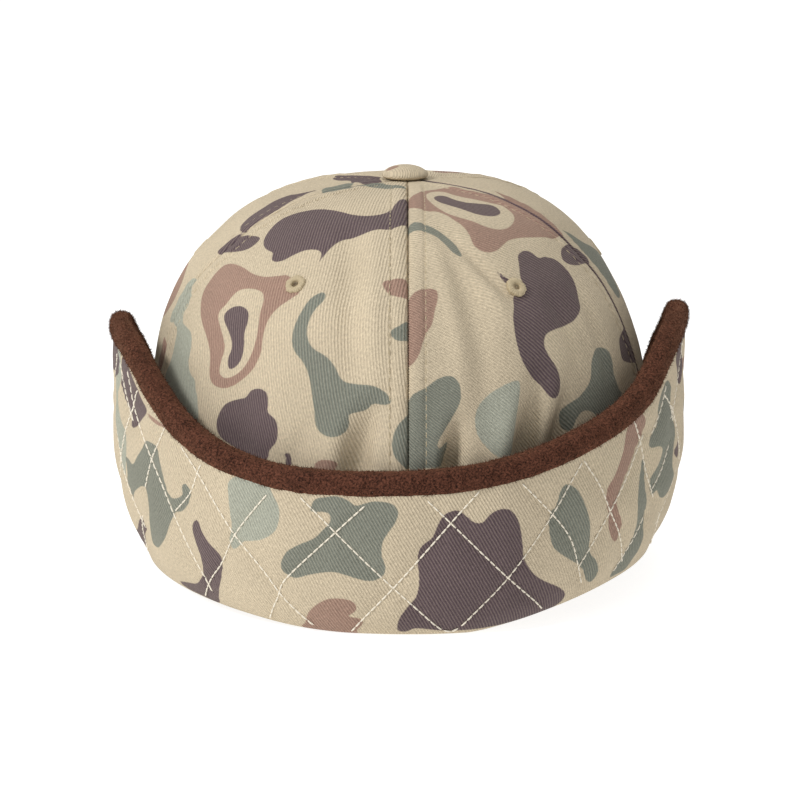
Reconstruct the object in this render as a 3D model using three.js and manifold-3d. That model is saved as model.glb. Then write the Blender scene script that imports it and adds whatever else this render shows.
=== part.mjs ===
// Earflap cap: six sewn cloth panels under a covered button, a sewn eyelet in each panel, a peak,
// and one quilted flap, faced with fleece, that stands turned up round the back and over the ears.
// Millimetres, +Z up. The back of the cap faces -Y and the peak points along +Y.
// An azimuth is measured round the crown: 0 at the middle of the back, 90 over the right ear
// (+X), -90 over the left ear and 180 at the middle of the front.
import * as THREE from "three";
import { mergeVertices } from "three/addons/utils/BufferGeometryUtils.js";
import Module from "manifold-3d";

const wasm = await Module();
wasm.setup();

// The head oval at its widest, from the back seam's plane. The cap sits a little askew, so its
// left side reaches further out than its right.
const oval = { left: 92, right: 86, length: 102, squareness: 2.1 };

const cloth = { wall: 1.6, gap: 0.3, columns: 9, rows: 13 };

// The crown's sections from the rim to the button: height, the shares of the oval's reach to
// each side, and the azimuth of the seam between a back panel and a side panel.
const crownSections = [
  { height: 0, left: 0.985, right: 0.985, back: 0.98, front: 0.99, seam: 73 },
  { height: 24, left: 1.0, right: 1.0, back: 1.0, front: 1.0, seam: 73 },
  { height: 48, left: 0.997, right: 0.991, back: 0.99, front: 1.0, seam: 73 },
  { height: 71, left: 0.971, right: 0.968, back: 0.955, front: 0.985, seam: 73 },
  { height: 90, left: 0.925, right: 0.904, back: 0.905, front: 0.945, seam: 71.5 },
  { height: 104.4, left: 0.851, right: 0.825, back: 0.83, front: 0.875, seam: 69.5 },
  { height: 114.9, left: 0.755, right: 0.738, back: 0.735, front: 0.785, seam: 66 },
  { height: 124.5, left: 0.632, right: 0.623, back: 0.615, front: 0.66, seam: 63 },
  { height: 130.7, left: 0.492, right: 0.486, back: 0.475, front: 0.51, seam: 60.5 },
  { height: 134.6, left: 0.318, right: 0.314, back: 0.305, front: 0.325, seam: 59 },
  { height: 136.5, left: 0.0, right: 0.0, back: 0.0, front: 0.0, seam: 58 },
];
const frontSeam = 121; // azimuth of the seam between a side panel and a front panel
const frontColumn = (180 - frontSeam) / cloth.columns;
const topHole = 2.6;

// Soft folds where the flap pushes the back panels in: middle azimuth, width round the crown,
// depth, and the heights where each is deepest and where it has run out.
const crownFolds = [
  { azimuth: -15, width: 15, depth: 2.6, deepest: 58, end: 86 },
  { azimuth: 9, width: 11, depth: 2.4, deepest: 58, end: 80 },
  { azimuth: 25, width: 17, depth: 3.0, deepest: 60, end: 92 },
  { azimuth: -38, width: 20, depth: 2.0, deepest: 62, end: 92 },
];

// The turned-up flap. Its edge: azimuth, and the height of the rolled edge on each side.
const flapEdge = [
  { azimuth: 0, left: 56, right: 56 },
  { azimuth: 12, left: 55.5, right: 57.5 },
  { azimuth: 25, left: 56.5, right: 61 },
  { azimuth: 38, left: 61, right: 66.5 },
  { azimuth: 48, left: 68, right: 71.5 },
  { azimuth: 56, left: 76.5, right: 77 },
  { azimuth: 64, left: 85, right: 85.5 },
  { azimuth: 72, left: 89.5, right: 92 },
  { azimuth: 81, left: 90.6, right: 94.6 },
  { azimuth: 89, left: 89.4, right: 93.4 },
  { azimuth: 98, left: 82, right: 85 },
  { azimuth: 107, left: 70, right: 72 },
  { azimuth: 117, left: 47, right: 48 },
  { azimuth: 125, left: 24, right: 24 },
];

// How far the quilt's outer face stands off the oval: height above the fold, at the middle of
// the back and over the ear.
const flapFlare = [
  { height: 0, back: 1.5, ear: 0.3 },
  { height: 4, back: 4.2, ear: 1.8 },
  { height: 8, back: 5.8, ear: 3.9 },
  { height: 16, back: 7.0, ear: 7.2 },
  { height: 30, back: 7.5, ear: 10.7 },
  { height: 45, back: 7.5, ear: 11.6 },
  { height: 60, back: 7.0, ear: 11.8 },
  { height: 80, back: 6.5, ear: 11.5 },
  { height: 110, back: 6.0, ear: 11.0 },
];
const flap = {
  reach: 125.5, // azimuth of its front ends
  quilt: 3.2,
  fleece: 2.6,
  apart: 0.6, // gap between the quilt and the fleece
  room: 1.8, // least room for the fleece between the quilt and the crown
  thin: 1.2, // least thickness of the quilt
  foot: 4.2, // thickness of the fold under the crown's edge
  roll: 9, // height of the rolled fleece edge
  proud: 0.6, // how far the roll stands past the quilt
  steps: 46,
};

// The fold lies on the ground at the middle of the back, and rises towards the peak's corners.
const rimRise = [
  { azimuth: 0, left: 0, right: 0 },
  { azimuth: 12, left: 0, right: 0 },
  { azimuth: 22, left: 0.7, right: 2.2 },
  { azimuth: 35, left: 2.6, right: 5.4 },
  { azimuth: 50, left: 4.3, right: 8 },
  { azimuth: 65, left: 5.2, right: 8.9 },
  { azimuth: 80, left: 5.5, right: 8.6 },
  { azimuth: 100, left: 5.5, right: 7.2 },
  { azimuth: 128, left: 5.3, right: 5.3 },
];

const peak = {
  corner: 180 - 8 * frontColumn, // azimuth of its sewn corners
  outerTurn: 124, // turn of its outline, from its tip to its corner
  halfWidth: 86,
  widestAt: 85, // along Y
  tip: 172,
  back: 56,
  squareness: 2.4,
  thick: 3,
  crownHeight: 22.55, // height of its arch above the middle of the cap, at slopeFrom
  arch: 250, // radius of its arch
  slope: 0.1, // fall for each millimetre forward
  slopeFrom: 60,
  across: 32,
  out: 5,
};

const button = { radius: 7.6, height: 3.9, seat: 0.9, shank: 2.2, shankDepth: 2.2, sides: 20 };
const eyelet = { hole: 1.3, barrel: 2.6, flange: 3.6, stand: 0.75, sides: 14 };

// The panels: the height of the eyelet, and its azimuth.
const panels = [
  { name: "back_left", mirror: -1, azimuth: -29.6, height: 111 },
  { name: "back_right", mirror: 1, azimuth: 31.2, height: 110 },
  { name: "side_left", mirror: -1, azimuth: -94, height: 111 },
  { name: "side_right", mirror: 1, azimuth: 94, height: 111 },
  { name: "front_left", mirror: -1, azimuth: -150, height: 111 },
  { name: "front_right", mirror: 1, azimuth: 150, height: 111 },
];

const colours = {
  cloth: 0xc9b68f,
  fleece: 0x4f2c24,
  thread: 0xcdbb98,
};

const radians = THREE.MathUtils.degToRad;
const ramp = (from, to, value) => THREE.MathUtils.smoothstep(value, from, to);
const power = (value, exponent) => Math.sign(value) * Math.abs(value) ** exponent;

// A smooth curve through one column of a table: the value at a place between its rows, which
// are told apart by the key column, or by their number where no key is given.
function column(rows, name, key) {
  const at = rows.map((row, index) => (key ? row[key] : index));
  const value = rows.map((row) => row[name]);
  const tangent = value.map((_, i) => {
    const before = Math.max(i - 1, 0);
    const after = Math.min(i + 1, value.length - 1);
    return (value[after] - value[before]) / (at[after] - at[before]);
  });
  return (place) => {
    const held = THREE.MathUtils.clamp(place, at[0], at.at(-1));
    let i = at.findLastIndex((start) => start <= held);
    i = Math.min(i, at.length - 2);
    const span = at[i + 1] - at[i];
    const t = (held - at[i]) / span;
    const [t2, t3] = [t * t, t * t * t];
    return (
      (2 * t3 - 3 * t2 + 1) * value[i] +
      (t3 - 2 * t2 + t) * span * tangent[i] +
      (3 * t2 - 2 * t3) * value[i + 1] +
      (t3 - t2) * span * tangent[i + 1]
    );
  };
}

const crown = Object.fromEntries(
  Object.keys(crownSections[0]).map((name) => [name, column(crownSections, name)]),
);
const flareAt = {
  back: column(flapFlare, "back", "height"),
  ear: column(flapFlare, "ear", "height"),
};
const edgeAt = {
  left: column(flapEdge, "left", "azimuth"),
  right: column(flapEdge, "right", "azimuth"),
};
const riseAt = {
  left: column(rimRise, "left", "azimuth"),
  right: column(rimRise, "right", "azimuth"),
};
const sideOf = (azimuth) => (azimuth < 0 ? "left" : "right");

// A point of the oval at an azimuth in degrees. Shares shrink it, and offset grows it.
function ovalPoint(azimuth, offset, sideShare = 1, lengthShare = 1) {
  const turn = radians(azimuth);
  const exponent = 2 / oval.squareness;
  const half = (Math.sin(turn) >= 0 ? oval.right : oval.left) * sideShare + offset;
  const long = oval.length * lengthShare + offset;
  return [half * power(Math.sin(turn), exponent), -long * power(Math.cos(turn), exponent)];
}

// The crown's outer face. A level runs from 0 at the rim to the number of the last section.
function crownPoint(azimuth, level) {
  const height = crown.height(level);
  const facing = Math.cos(radians(azimuth));
  const lengthShare = facing > 0 ? crown.back(level) : crown.front(level);
  const aside = Math.sin(radians(azimuth));
  const sideShare = aside < 0 ? crown.left(level) : crown.right(level);
  const [x, y] = ovalPoint(azimuth, 0, sideShare, lengthShare);
  let dent = 0;
  for (const fold of crownFolds) {
    const across = (radians(azimuth - fold.azimuth) * oval.length) / (fold.width / 2);
    const up = height < fold.deepest ? 1 : 1 - ramp(fold.deepest, fold.end, height);
    dent += fold.depth * Math.exp(-across * across) * up * ramp(30, fold.deepest, height);
  }
  const out = Math.hypot(x, y) || 1;
  return new THREE.Vector3(x - (x / out) * dent, y - (y / out) * dent, height);
}

function crownNormal(azimuth, level) {
  const step = 0.02;
  const round = crownPoint(azimuth + 1, level).sub(crownPoint(azimuth - 1, level));
  const up = crownPoint(azimuth, level + step).sub(crownPoint(azimuth, level - step));
  return round.cross(up).normalize();
}

// The level at which the crown has a height, or its side share falls to a share.
function levelWhere(passed, from) {
  let [low, high] = [from, crownSections.length - 1];
  for (let i = 0; i < 40; i++) {
    const middle = (low + high) / 2;
    if (passed(middle)) high = middle;
    else low = middle;
  }
  return (low + high) / 2;
}
const levelAtHeight = (height) => levelWhere((level) => crown.height(level) >= height, 0);
const topLevel = levelWhere((level) => crown.right(level) * oval.right <= topHole, 5);

const rimHeight = (azimuth) => Math.max(riseAt[sideOf(azimuth)](Math.abs(azimuth)), 0);

// The peak's arch is level with the middle of the cap, which lies left of the seam plane.
const middleX = (oval.right - oval.left) / 2;
const peakHeight = (x, y) =>
  peak.crownHeight - (x - middleX) ** 2 / (2 * peak.arch) - (y - peak.slopeFrom) * peak.slope;

// The height of the crown's cut edge: on the flap's fold at the back and sides, and on the
// peak at the front.
function crownEdge(azimuth) {
  const [x, y] = ovalPoint(azimuth, -cloth.wall);
  const onFold = rimHeight(azimuth) + flap.foot + cloth.gap;
  const onPeak = peakHeight(x, y) + cloth.gap;
  const overPeak = Math.abs(azimuth) > peak.corner - frontColumn / 2;
  return overPeak ? Math.max(onPeak, onFold) : onFold;
}

// A closed wall from a grid of outer points and the matching inner points. Seen from outside,
// rows follow each other to the right and each row's points run upwards.
function wall(outer, inner) {
  const count = outer[0].length;
  const ring = 2 * count;
  const points = outer.flatMap((row, r) => [...row, ...inner[r]]);
  const faces = [];
  const quad = (a, b, c, d) => faces.push(a, b, c, a, c, d);
  for (let r = 0; r < outer.length; r++) {
    const [out, back] = [r * ring, r * ring + count];
    for (let i = 0; i + 1 < count; i++) {
      if (r === 0) quad(out + i, out + i + 1, back + i + 1, back + i);
      if (r === outer.length - 1) quad(out + i, back + i, back + i + 1, out + i + 1);
      else {
        quad(out + i, out + i + ring, out + i + 1 + ring, out + i + 1);
        quad(back + i, back + i + 1, back + i + 1 + ring, back + i + ring);
      }
    }
    if (r === outer.length - 1) continue;
    const [low, high] = [out, out + count - 1];
    quad(low, low + count, low + count + ring, low + ring);
    quad(high, high + ring, high + count + ring, high + count);
  }
  const geometry = new THREE.BufferGeometry();
  const positions = points.flatMap((point) => [point.x, point.y, point.z]);
  geometry.setAttribute("position", new THREE.Float32BufferAttribute(positions, 3));
  geometry.setIndex(faces);
  return geometry;
}

function solidOf(geometry) {
  const bare = geometry.index ? geometry.clone() : geometry;
  bare.deleteAttribute("normal");
  bare.deleteAttribute("uv");
  const merged = mergeVertices(bare, 1e-4);
  return new wasm.Manifold(
    new wasm.Mesh({
      numProp: 3,
      vertProperties: merged.attributes.position.array,
      triVerts: new Uint32Array(merged.index.array),
    }),
  );
}

function geometryOf(solid) {
  const mesh = solid.getMesh();
  const geometry = new THREE.BufferGeometry();
  geometry.setAttribute("position", new THREE.BufferAttribute(mesh.vertProperties, 3));
  geometry.setIndex(new THREE.BufferAttribute(mesh.triVerts, 1));
  return geometry;
}

function material(colour, roughness) {
  return new THREE.MeshStandardMaterial({ color: colour, roughness, metalness: 0 });
}

function piece(name, geometry, paint) {
  const mesh = new THREE.Mesh(geometry, paint);
  mesh.name = name;
  return mesh;
}

const range = (count) => Array.from({ length: count + 1 }, (_, i) => i / count);

// The seams that bound a panel at a level, as azimuths from left to right.
function seamsOf({ name, mirror }, level) {
  const rear = crown.seam(level);
  const seams = { back: [0, rear], side: [rear, frontSeam], front: [frontSeam, 180] };
  const [near, far] = seams[name.split("_")[0]];
  return mirror > 0 ? [near, far] : [-far, -near];
}

// One panel of the crown, from one seam to the next.
function panelWall(panel) {
  const outer = [];
  const inner = [];
  for (const side of range(cloth.columns)) {
    const outerRow = [];
    const innerRow = [];
    const [left, right] = seamsOf(panel, 0);
    const foot = levelAtHeight(crownEdge(left + (right - left) * side));
    for (const up of range(cloth.rows)) {
      const level = foot + (topLevel - foot) * up;
      const [from, to] = seamsOf(panel, level);
      const plain = from + (to - from) * side;
      const radius = Math.hypot(...crownPoint(plain, level).toArray().slice(0, 2));
      const inset = THREE.MathUtils.radToDeg(cloth.gap / 2 / radius) * 1.1;
      const azimuth = plain + inset * (1 - 2 * side);
      const point = crownPoint(azimuth, level);
      outerRow.push(point);
      innerRow.push(point.clone().addScaledVector(crownNormal(azimuth, level), -cloth.wall));
    }
    outer.push(outerRow);
    inner.push(innerRow);
  }
  return wall(outer, inner);
}

// Where an eyelet sits: a group turned so that its own Z runs out through the cloth.
function eyeletPlace({ azimuth, height }) {
  const level = levelAtHeight(height);
  const place = new THREE.Group();
  place.position.copy(crownPoint(azimuth, level));
  place.quaternion.setFromUnitVectors(
    new THREE.Vector3(0, 0, 1),
    crownNormal(azimuth, level),
  );
  place.updateMatrixWorld(true);
  return place;
}

function eyeletRing() {
  const top = eyelet.stand;
  const profile = [
    [eyelet.hole, -cloth.wall],
    [eyelet.barrel, -cloth.wall],
    [eyelet.barrel, cloth.gap],
    [eyelet.flange, cloth.gap],
    [eyelet.flange * 0.93, top * 0.85],
    [(eyelet.flange + eyelet.hole) / 2, top],
    [eyelet.hole * 1.15, top * 0.8],
    [eyelet.hole, -cloth.wall],
  ].map(([r, z]) => new THREE.Vector2(r, z));
  return new THREE.LatheGeometry(profile, eyelet.sides).rotateX(Math.PI / 2);
}

// A panel with its eyelet's hole cut through it.
function panelCut(panel, place) {
  const deep = 8;
  const drill = new THREE.CylinderGeometry(
    eyelet.barrel + cloth.gap,
    eyelet.barrel + cloth.gap,
    deep,
    eyelet.sides,
  )
    .rotateX(Math.PI / 2)
    .applyMatrix4(place.matrixWorld);
  return geometryOf(solidOf(panelWall(panel)).subtract(solidOf(drill)));
}

function coveredButton() {
  const { radius, height, seat, shank, shankDepth } = button;
  const profile = [
    [0, -shankDepth],
    [shank, -shankDepth],
    [shank, seat],
    [radius * 0.93, seat],
    [radius, seat + height * 0.22],
    [radius * 0.9, seat + height * 0.55],
    [radius * 0.65, seat + height * 0.84],
    [radius * 0.32, seat + height * 0.97],
    [0, seat + height],
  ].map(([r, z]) => new THREE.Vector2(r, z));
  return new THREE.LatheGeometry(profile, button.sides).rotateX(Math.PI / 2);
}

// The flap's own measures at an azimuth.
function flapAt(azimuth) {
  const turn = Math.abs(azimuth);
  const step = 2;
  const edge = edgeAt[sideOf(azimuth)];
  const run = (radians(2 * step) * (oval.left + oval.length)) / 2;
  const climb = (edge(turn + step) - edge(turn - step)) / run;
  const steep = Math.min(Math.hypot(1, climb), 1.8);
  const top = edge(turn);
  const floor = rimHeight(azimuth);
  const ear = Math.sin(radians(azimuth)) ** 2;
  const flare = (height) =>
    flareAt.back(height - floor) * (1 - ear) + flareAt.ear(height - floor) * ear;
  return { top, floor, flare, roll: Math.min(flap.roll * steep, (top - floor) * 0.5) };
}

// A band swept round the oval. Its profile is two lists of [offset, height], of one length.
function sweep(profileAt) {
  const sides = { outer: [], inner: [] };
  for (const share of range(flap.steps)) {
    const azimuth = flap.reach * (2 * share - 1);
    const profile = profileAt(azimuth);
    for (const [side, rows] of Object.entries(sides)) {
      rows.push(
        profile[side].map(
          ([offset, height]) => new THREE.Vector3(...ovalPoint(azimuth, offset), height),
        ),
      );
    }
  }
  return wall(sides.outer, sides.inner);
}

// The quilted cloth: out from under the crown's edge, round the fold and up to the roll.
function quiltProfile(azimuth) {
  const { top, floor, flare, roll } = flapAt(azimuth);
  const end = top - roll - flap.apart;
  const heights = [0.05, 0.12, 0.22, 0.36, 0.52, 0.68, 0.84, 1].map(
    (share) => floor + 1 + (end - floor - 1) * share,
  );
  const foot = floor + flap.foot;
  return {
    outer: [
      [-cloth.wall, floor],
      [flare(floor), floor],
      ...heights.map((height) => [flare(height), height]),
    ],
    inner: [
      [-cloth.wall, foot],
      [0.5, foot],
      ...heights.map((height, i) => [
        Math.max(flare(height) - flap.quilt, Math.min(flap.room, flare(height) - flap.thin)),
        Math.max(height, foot + 0.3 * (i + 1)),
      ]),
    ],
  };
}

// The fleece: down the flap's inner face, and rolled over its edge.
function fleeceProfile(azimuth) {
  const { top, floor, flare, roll } = flapAt(azimuth);
  const back = (height) => flare(height) - flap.quilt - flap.apart;
  const face = (height) => Math.max(back(height) - flap.fleece, 0.35);
  const under = top - roll;
  const start = Math.min(floor + flap.foot + 5, under - 2);
  const heights = [0, 0.25, 0.5, 0.75, 1].map((share) => start + (under - start) * share);
  const outside = flare(top) + flap.proud;
  const inside = face(top) - 0.3;
  const middle = (outside + inside) / 2;
  return {
    outer: [
      ...heights.map((height) => [Math.max(back(height), face(height) + 0.8), height]),
      [flare(under) + 0.3, under],
      [outside, top - roll * 0.72],
      [outside - 0.2, top - roll * 0.36],
      [(outside + middle) / 2 + 0.6, top - roll * 0.1],
      [middle + 0.8, top],
    ],
    inner: [
      ...heights.map((height) => [face(height), height]),
      [face(under), under + roll * 0.12],
      [inside + 0.1, top - roll * 0.7],
      [inside, top - roll * 0.4],
      [(inside + middle) / 2 - 0.6, top - roll * 0.1],
      [middle - 0.8, top],
    ],
  };
}

// The peak's outline, turned from its tip to a corner, as a share from -1 to 1.
function peakOutline(share) {
  const turn = radians(peak.outerTurn * share);
  const exponent = 2 / peak.squareness;
  const forward = Math.cos(turn) > 0 ? peak.tip - peak.widestAt : peak.widestAt - peak.back;
  return [
    peak.halfWidth * power(Math.sin(turn), exponent) + middleX,
    peak.widestAt + forward * power(Math.cos(turn), exponent),
  ];
}

function peakBoard() {
  const outer = [];
  const inner = [];
  for (const share of range(peak.across).map((t) => 2 * t - 1)) {
    const start = ovalPoint(180 - (180 - peak.corner) * share, -cloth.wall);
    const end = peakOutline(share);
    const row = range(peak.out).map((t) => {
      const [x, y] = [0, 1].map((axis) => start[axis] + (end[axis] - start[axis]) * t);
      return new THREE.Vector3(x, y, peakHeight(x, y));
    });
    outer.push(row);
    inner.push(row.map((point) => point.clone().setZ(point.z - peak.thick)));
  }
  return wall(outer, inner);
}

const cap = new THREE.Group();
const twill = material(colours.cloth, 0.85);
const thread = material(colours.thread, 0.7);

for (const panel of panels) {
  const place = eyeletPlace(panel);
  cap.add(piece(`panel_${panel.name}`, panelCut(panel, place), twill));
  place.add(piece(`eyelet_${panel.name}`, eyeletRing(), thread));
  cap.add(place);
}

const covered = piece("top_button", coveredButton(), twill);
covered.position.z = crownSections.at(-1).height;
cap.add(covered);
cap.add(piece("earflap_quilt", sweep(quiltProfile), twill));
cap.add(piece("earflap_fleece", sweep(fleeceProfile), material(colours.fleece, 0.95)));
cap.add(piece("peak", peakBoard(), twill));

// The origin is the middle of the cap's footprint, on the ground.
const box = new THREE.Box3().setFromObject(cap);
const centre = box.getCenter(new THREE.Vector3());
cap.position.set(-centre.x, -centre.y, 0);

export default cap;
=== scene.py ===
import bpy
import numpy as np
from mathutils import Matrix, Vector, noise


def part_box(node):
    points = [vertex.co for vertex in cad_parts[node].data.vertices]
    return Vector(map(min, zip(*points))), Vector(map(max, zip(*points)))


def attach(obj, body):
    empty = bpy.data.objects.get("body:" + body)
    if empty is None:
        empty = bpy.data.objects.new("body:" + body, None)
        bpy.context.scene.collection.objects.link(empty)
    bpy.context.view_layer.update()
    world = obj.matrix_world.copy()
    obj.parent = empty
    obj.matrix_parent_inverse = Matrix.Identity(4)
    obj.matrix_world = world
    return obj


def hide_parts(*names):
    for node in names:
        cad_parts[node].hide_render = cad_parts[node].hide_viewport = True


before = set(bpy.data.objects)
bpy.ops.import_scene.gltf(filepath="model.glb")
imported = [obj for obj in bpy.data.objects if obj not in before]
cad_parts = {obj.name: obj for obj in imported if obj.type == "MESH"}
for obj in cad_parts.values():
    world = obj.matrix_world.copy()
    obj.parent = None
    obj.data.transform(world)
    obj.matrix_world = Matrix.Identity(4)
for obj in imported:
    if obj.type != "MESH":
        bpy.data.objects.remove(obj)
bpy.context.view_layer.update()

bpy.ops.object.select_all(action="DESELECT")

# Shapes are worked out in millimetres about the crown's axis, with heights from the ground.
# An azimuth is 0 at the middle of the back, 90 over the right ear and -90 over the left.
mm = 0.001
buttonLow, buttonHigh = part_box("top_button")
crownAxis = np.array([(buttonLow.x + buttonHigh.x) / 2 / mm, (buttonLow.y + buttonHigh.y) / 2 / mm, 0.0])

oval = {"left": 92, "right": 86, "length": 102, "squareness": 2.1}  # the crown's outline near its rim
clothWall = 1.6  # mm
frontSeam = 121  # azimuth of the seam between a side panel and a front one
foldsFrom = 30  # height at which the crown's large folds begin


def table(names, *rows):
    return [dict(zip(names.split(), row)) for row in rows]


# shares of the oval at each height, and the azimuth of the seam between a back panel and a side one
crownSections = table(
    "height left right back front seam",
    (0, 0.985, 0.985, 0.98, 0.99, 73), (24, 1, 1, 1, 1, 73), (48, 0.997, 0.991, 0.99, 1, 73),
    (71, 0.971, 0.968, 0.955, 0.985, 73), (90, 0.925, 0.904, 0.905, 0.945, 71.5),
    (104.4, 0.851, 0.825, 0.83, 0.875, 69.5), (114.9, 0.755, 0.738, 0.735, 0.785, 66),
    (124.5, 0.632, 0.623, 0.615, 0.66, 63), (130.7, 0.492, 0.486, 0.475, 0.51, 60.5),
    (134.6, 0.318, 0.314, 0.305, 0.325, 59), (136.5, 0, 0, 0, 0, 58),
)
# where the flap pushes the crown in
crownFolds = table(
    "azimuth width depth deepest end",
    (-11.5, 15, 2.6, 58, 86), (9, 11, 2.4, 58, 80), (25, 17, 3.0, 60, 92), (-38, 20, 2.0, 62, 92),
)
# the height of the flap's rolled edge, and of its fold, on each side
flapEdge = table(
    "azimuth left right",
    (0, 56, 56), (12, 55.5, 57.5), (25, 56.5, 61), (38, 61, 66.5), (48, 68, 71.5), (56, 76.5, 77),
    (64, 85, 85.5), (72, 89.5, 92), (81, 90.6, 94.6), (89, 89.4, 93.4), (98, 82, 85), (107, 70, 72),
    (117, 47, 48), (125, 24, 24),
)
rimRise = table(
    "azimuth left right",
    (0, 0, 0), (12, 0, 0), (22, 0.7, 2.2), (35, 2.6, 5.4), (50, 4.3, 8), (65, 5.2, 8.9), (80, 5.5, 8.6),
    (100, 5.5, 7.2), (128, 5.3, 5.3),
)
# how far the quilt stands off the oval, by the height above its fold
flapFlare = table(
    "height back ear",
    (0, 1.5, 0.3), (4, 4.2, 1.8), (8, 5.8, 3.9), (16, 7.0, 7.2), (30, 7.5, 10.7), (45, 7.5, 11.6),
    (60, 7.0, 11.8), (80, 6.5, 11.5), (110, 6.0, 11.0),
)


# A smooth curve through one column of a table
def column(rows, name, key=None):
    at = np.array([row[key] if key else i for i, row in enumerate(rows)], float)
    value = np.array([row[name] for row in rows], float)
    before = np.maximum(np.arange(len(rows)) - 1, 0)
    after = np.minimum(np.arange(len(rows)) + 1, len(rows) - 1)
    slope = (value[after] - value[before]) / (at[after] - at[before])

    def valueAt(place):
        held = np.clip(place, at[0], at[-1])
        i = np.clip(np.searchsorted(at, held, side="right") - 1, 0, len(rows) - 2)
        span = at[i + 1] - at[i]
        t = (held - at[i]) / span
        start = (2 * t**3 - 3 * t**2 + 1) * value[i] + (t**3 - 2 * t**2 + t) * span * slope[i]
        end = (3 * t**2 - 2 * t**3) * value[i + 1] + (t**3 - t**2) * span * slope[i + 1]
        return start + end

    return valueAt


crown = {name: column(crownSections, name) for name in crownSections[0]}
flareAt = {name: column(flapFlare, name, "height") for name in ("back", "ear")}
edgeAt = {name: column(flapEdge, name, "azimuth") for name in ("left", "right")}
riseAt = {name: column(rimRise, name, "azimuth") for name in ("left", "right")}


def ramp(low, high, value):
    t = np.clip((value - low) / (high - low), 0, 1)
    return t * t * (3 - 2 * t)


def bell(value, width):
    return np.exp(-((value / width) ** 2))


def fuller(value, power):
    # a sine or cosine swelled or squared off, with its sign kept
    return np.sign(value) * np.abs(value) ** power


def unit(vectors):
    return vectors / np.linalg.norm(vectors, axis=-1, keepdims=True)


def runAlong(line):
    return np.concatenate([[0], np.cumsum(np.linalg.norm(np.diff(line, axis=0), axis=1))])


def ovalPoint(azimuth, offset=0, sideShare=1, lengthShare=1):
    turn = np.radians(azimuth)
    aside, back = np.sin(turn), np.cos(turn)
    half = np.where(aside >= 0, oval["right"], oval["left"]) * sideShare + offset
    long = oval["length"] * lengthShare + offset
    power = 2 / oval["squareness"]
    return half * fuller(aside, power), -long * fuller(back, power)


def crownPoint(azimuth, level, folded=True):
    turn = np.radians(azimuth)
    sideShare = np.where(np.sin(turn) < 0, crown["left"](level), crown["right"](level))
    lengthShare = np.where(np.cos(turn) > 0, crown["back"](level), crown["front"](level))
    x, y = ovalPoint(azimuth, 0, sideShare, lengthShare)
    height = crown["height"](level) + 0 * x
    dent = 0 * x
    for fold in crownFolds if folded else []:
        across = np.radians(azimuth - fold["azimuth"]) * oval["length"]
        up = ramp(foldsFrom, fold["deepest"], height) * (1 - ramp(fold["deepest"], fold["end"], height))
        dent += fold["depth"] * bell(across, fold["width"] / 2) * up
    keep = 1 - dent / np.maximum(np.hypot(x, y), 1)
    return np.stack([x * keep, y * keep, height], -1)


# a level counts the sections up from the rim, and stops just short of the last, which has no width
levelTable = np.linspace(0, len(crownSections) - 1.0001, 2000)
coarseLevels = levelTable[::20]
heightTable = crown["height"](levelTable)
upTable = runAlong(crownPoint(0 * levelTable, levelTable, folded=False))


def levelAtHeight(height):
    return np.interp(height, heightTable, levelTable)


def sided(table, azimuth):
    turn = np.abs(azimuth)
    return np.where(azimuth < 0, table["left"](turn), table["right"](turn))


def rimHeight(azimuth):
    return np.maximum(sided(riseAt, azimuth), 0)


def flapOffset(azimuth, height):
    ear = np.sin(np.radians(azimuth)) ** 2
    above = height - rimHeight(azimuth)
    return flareAt["back"](above) * (1 - ear) + flareAt["ear"](above) * ear


def flapFace(azimuth, height, offset=0):
    x, y = ovalPoint(azimuth, flapOffset(azimuth, height) + offset)
    return np.stack([x, y, height + 0 * x], -1)


# the flap's cloth is measured along its face at this height, left and right of the middle of the back
flapMeasure = {"height": 30, "end": 126, "steps": 2521}
flapTurns = np.linspace(-flapMeasure["end"], flapMeasure["end"], flapMeasure["steps"])
flapRun = runAlong(flapFace(flapTurns, flapMeasure["height"] + 0 * flapTurns))
flapRun -= np.interp(0, flapTurns, flapRun)


def gridNormals(points):
    across = np.gradient(points, axis=1)
    along = np.gradient(points, axis=0)
    normal = np.cross(across, along)
    return normal / np.maximum(np.linalg.norm(normal, axis=-1, keepdims=True), 1e-9)


def unevenness(points, size, seed):
    # soft lumps of about this size in mm, from -1 to 1
    flat = points.reshape(-1, 3) / size + seed
    values = np.array([noise.noise(Vector(p)) for p in flat])
    return values.reshape(points.shape[:-1])


# The print: each spot has its ink and its outline, and some have a hole. Outlines are in mm on each
# piece's cloth, read where the photo shows the print, and made up in the same manner elsewhere.
# A smooth curve goes through their points, and a spot is kept as the distance to its edge, positive
# inside and no more than this many mm.
printReach = 3.0
inks = ["mint", "green", "rose", "dark"]


def smoothCurve(points, closed=True, steps=6):
    # a curve through all the points, with this many steps between two of them
    points = np.array(points, float)
    count = len(points)
    pick = (lambda i: points[i % count]) if closed else (lambda i: points[min(max(i, 0), count - 1)])
    t = np.linspace(0, 1, steps, endpoint=False)[:, None]
    curve = []
    for i in range(count if closed else count - 1):
        a, b, c, d = pick(i - 1), pick(i), pick(i + 1), pick(i + 2)
        bend, twist = 2 * a - 5 * b + 4 * c - d, 3 * b - a - 3 * c + d
        curve.append(0.5 * (2 * b + (c - a) * t + bend * t**2 + twist * t**3))
    if not closed:
        curve.append(points[-1:])
    return np.concatenate(curve)


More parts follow.
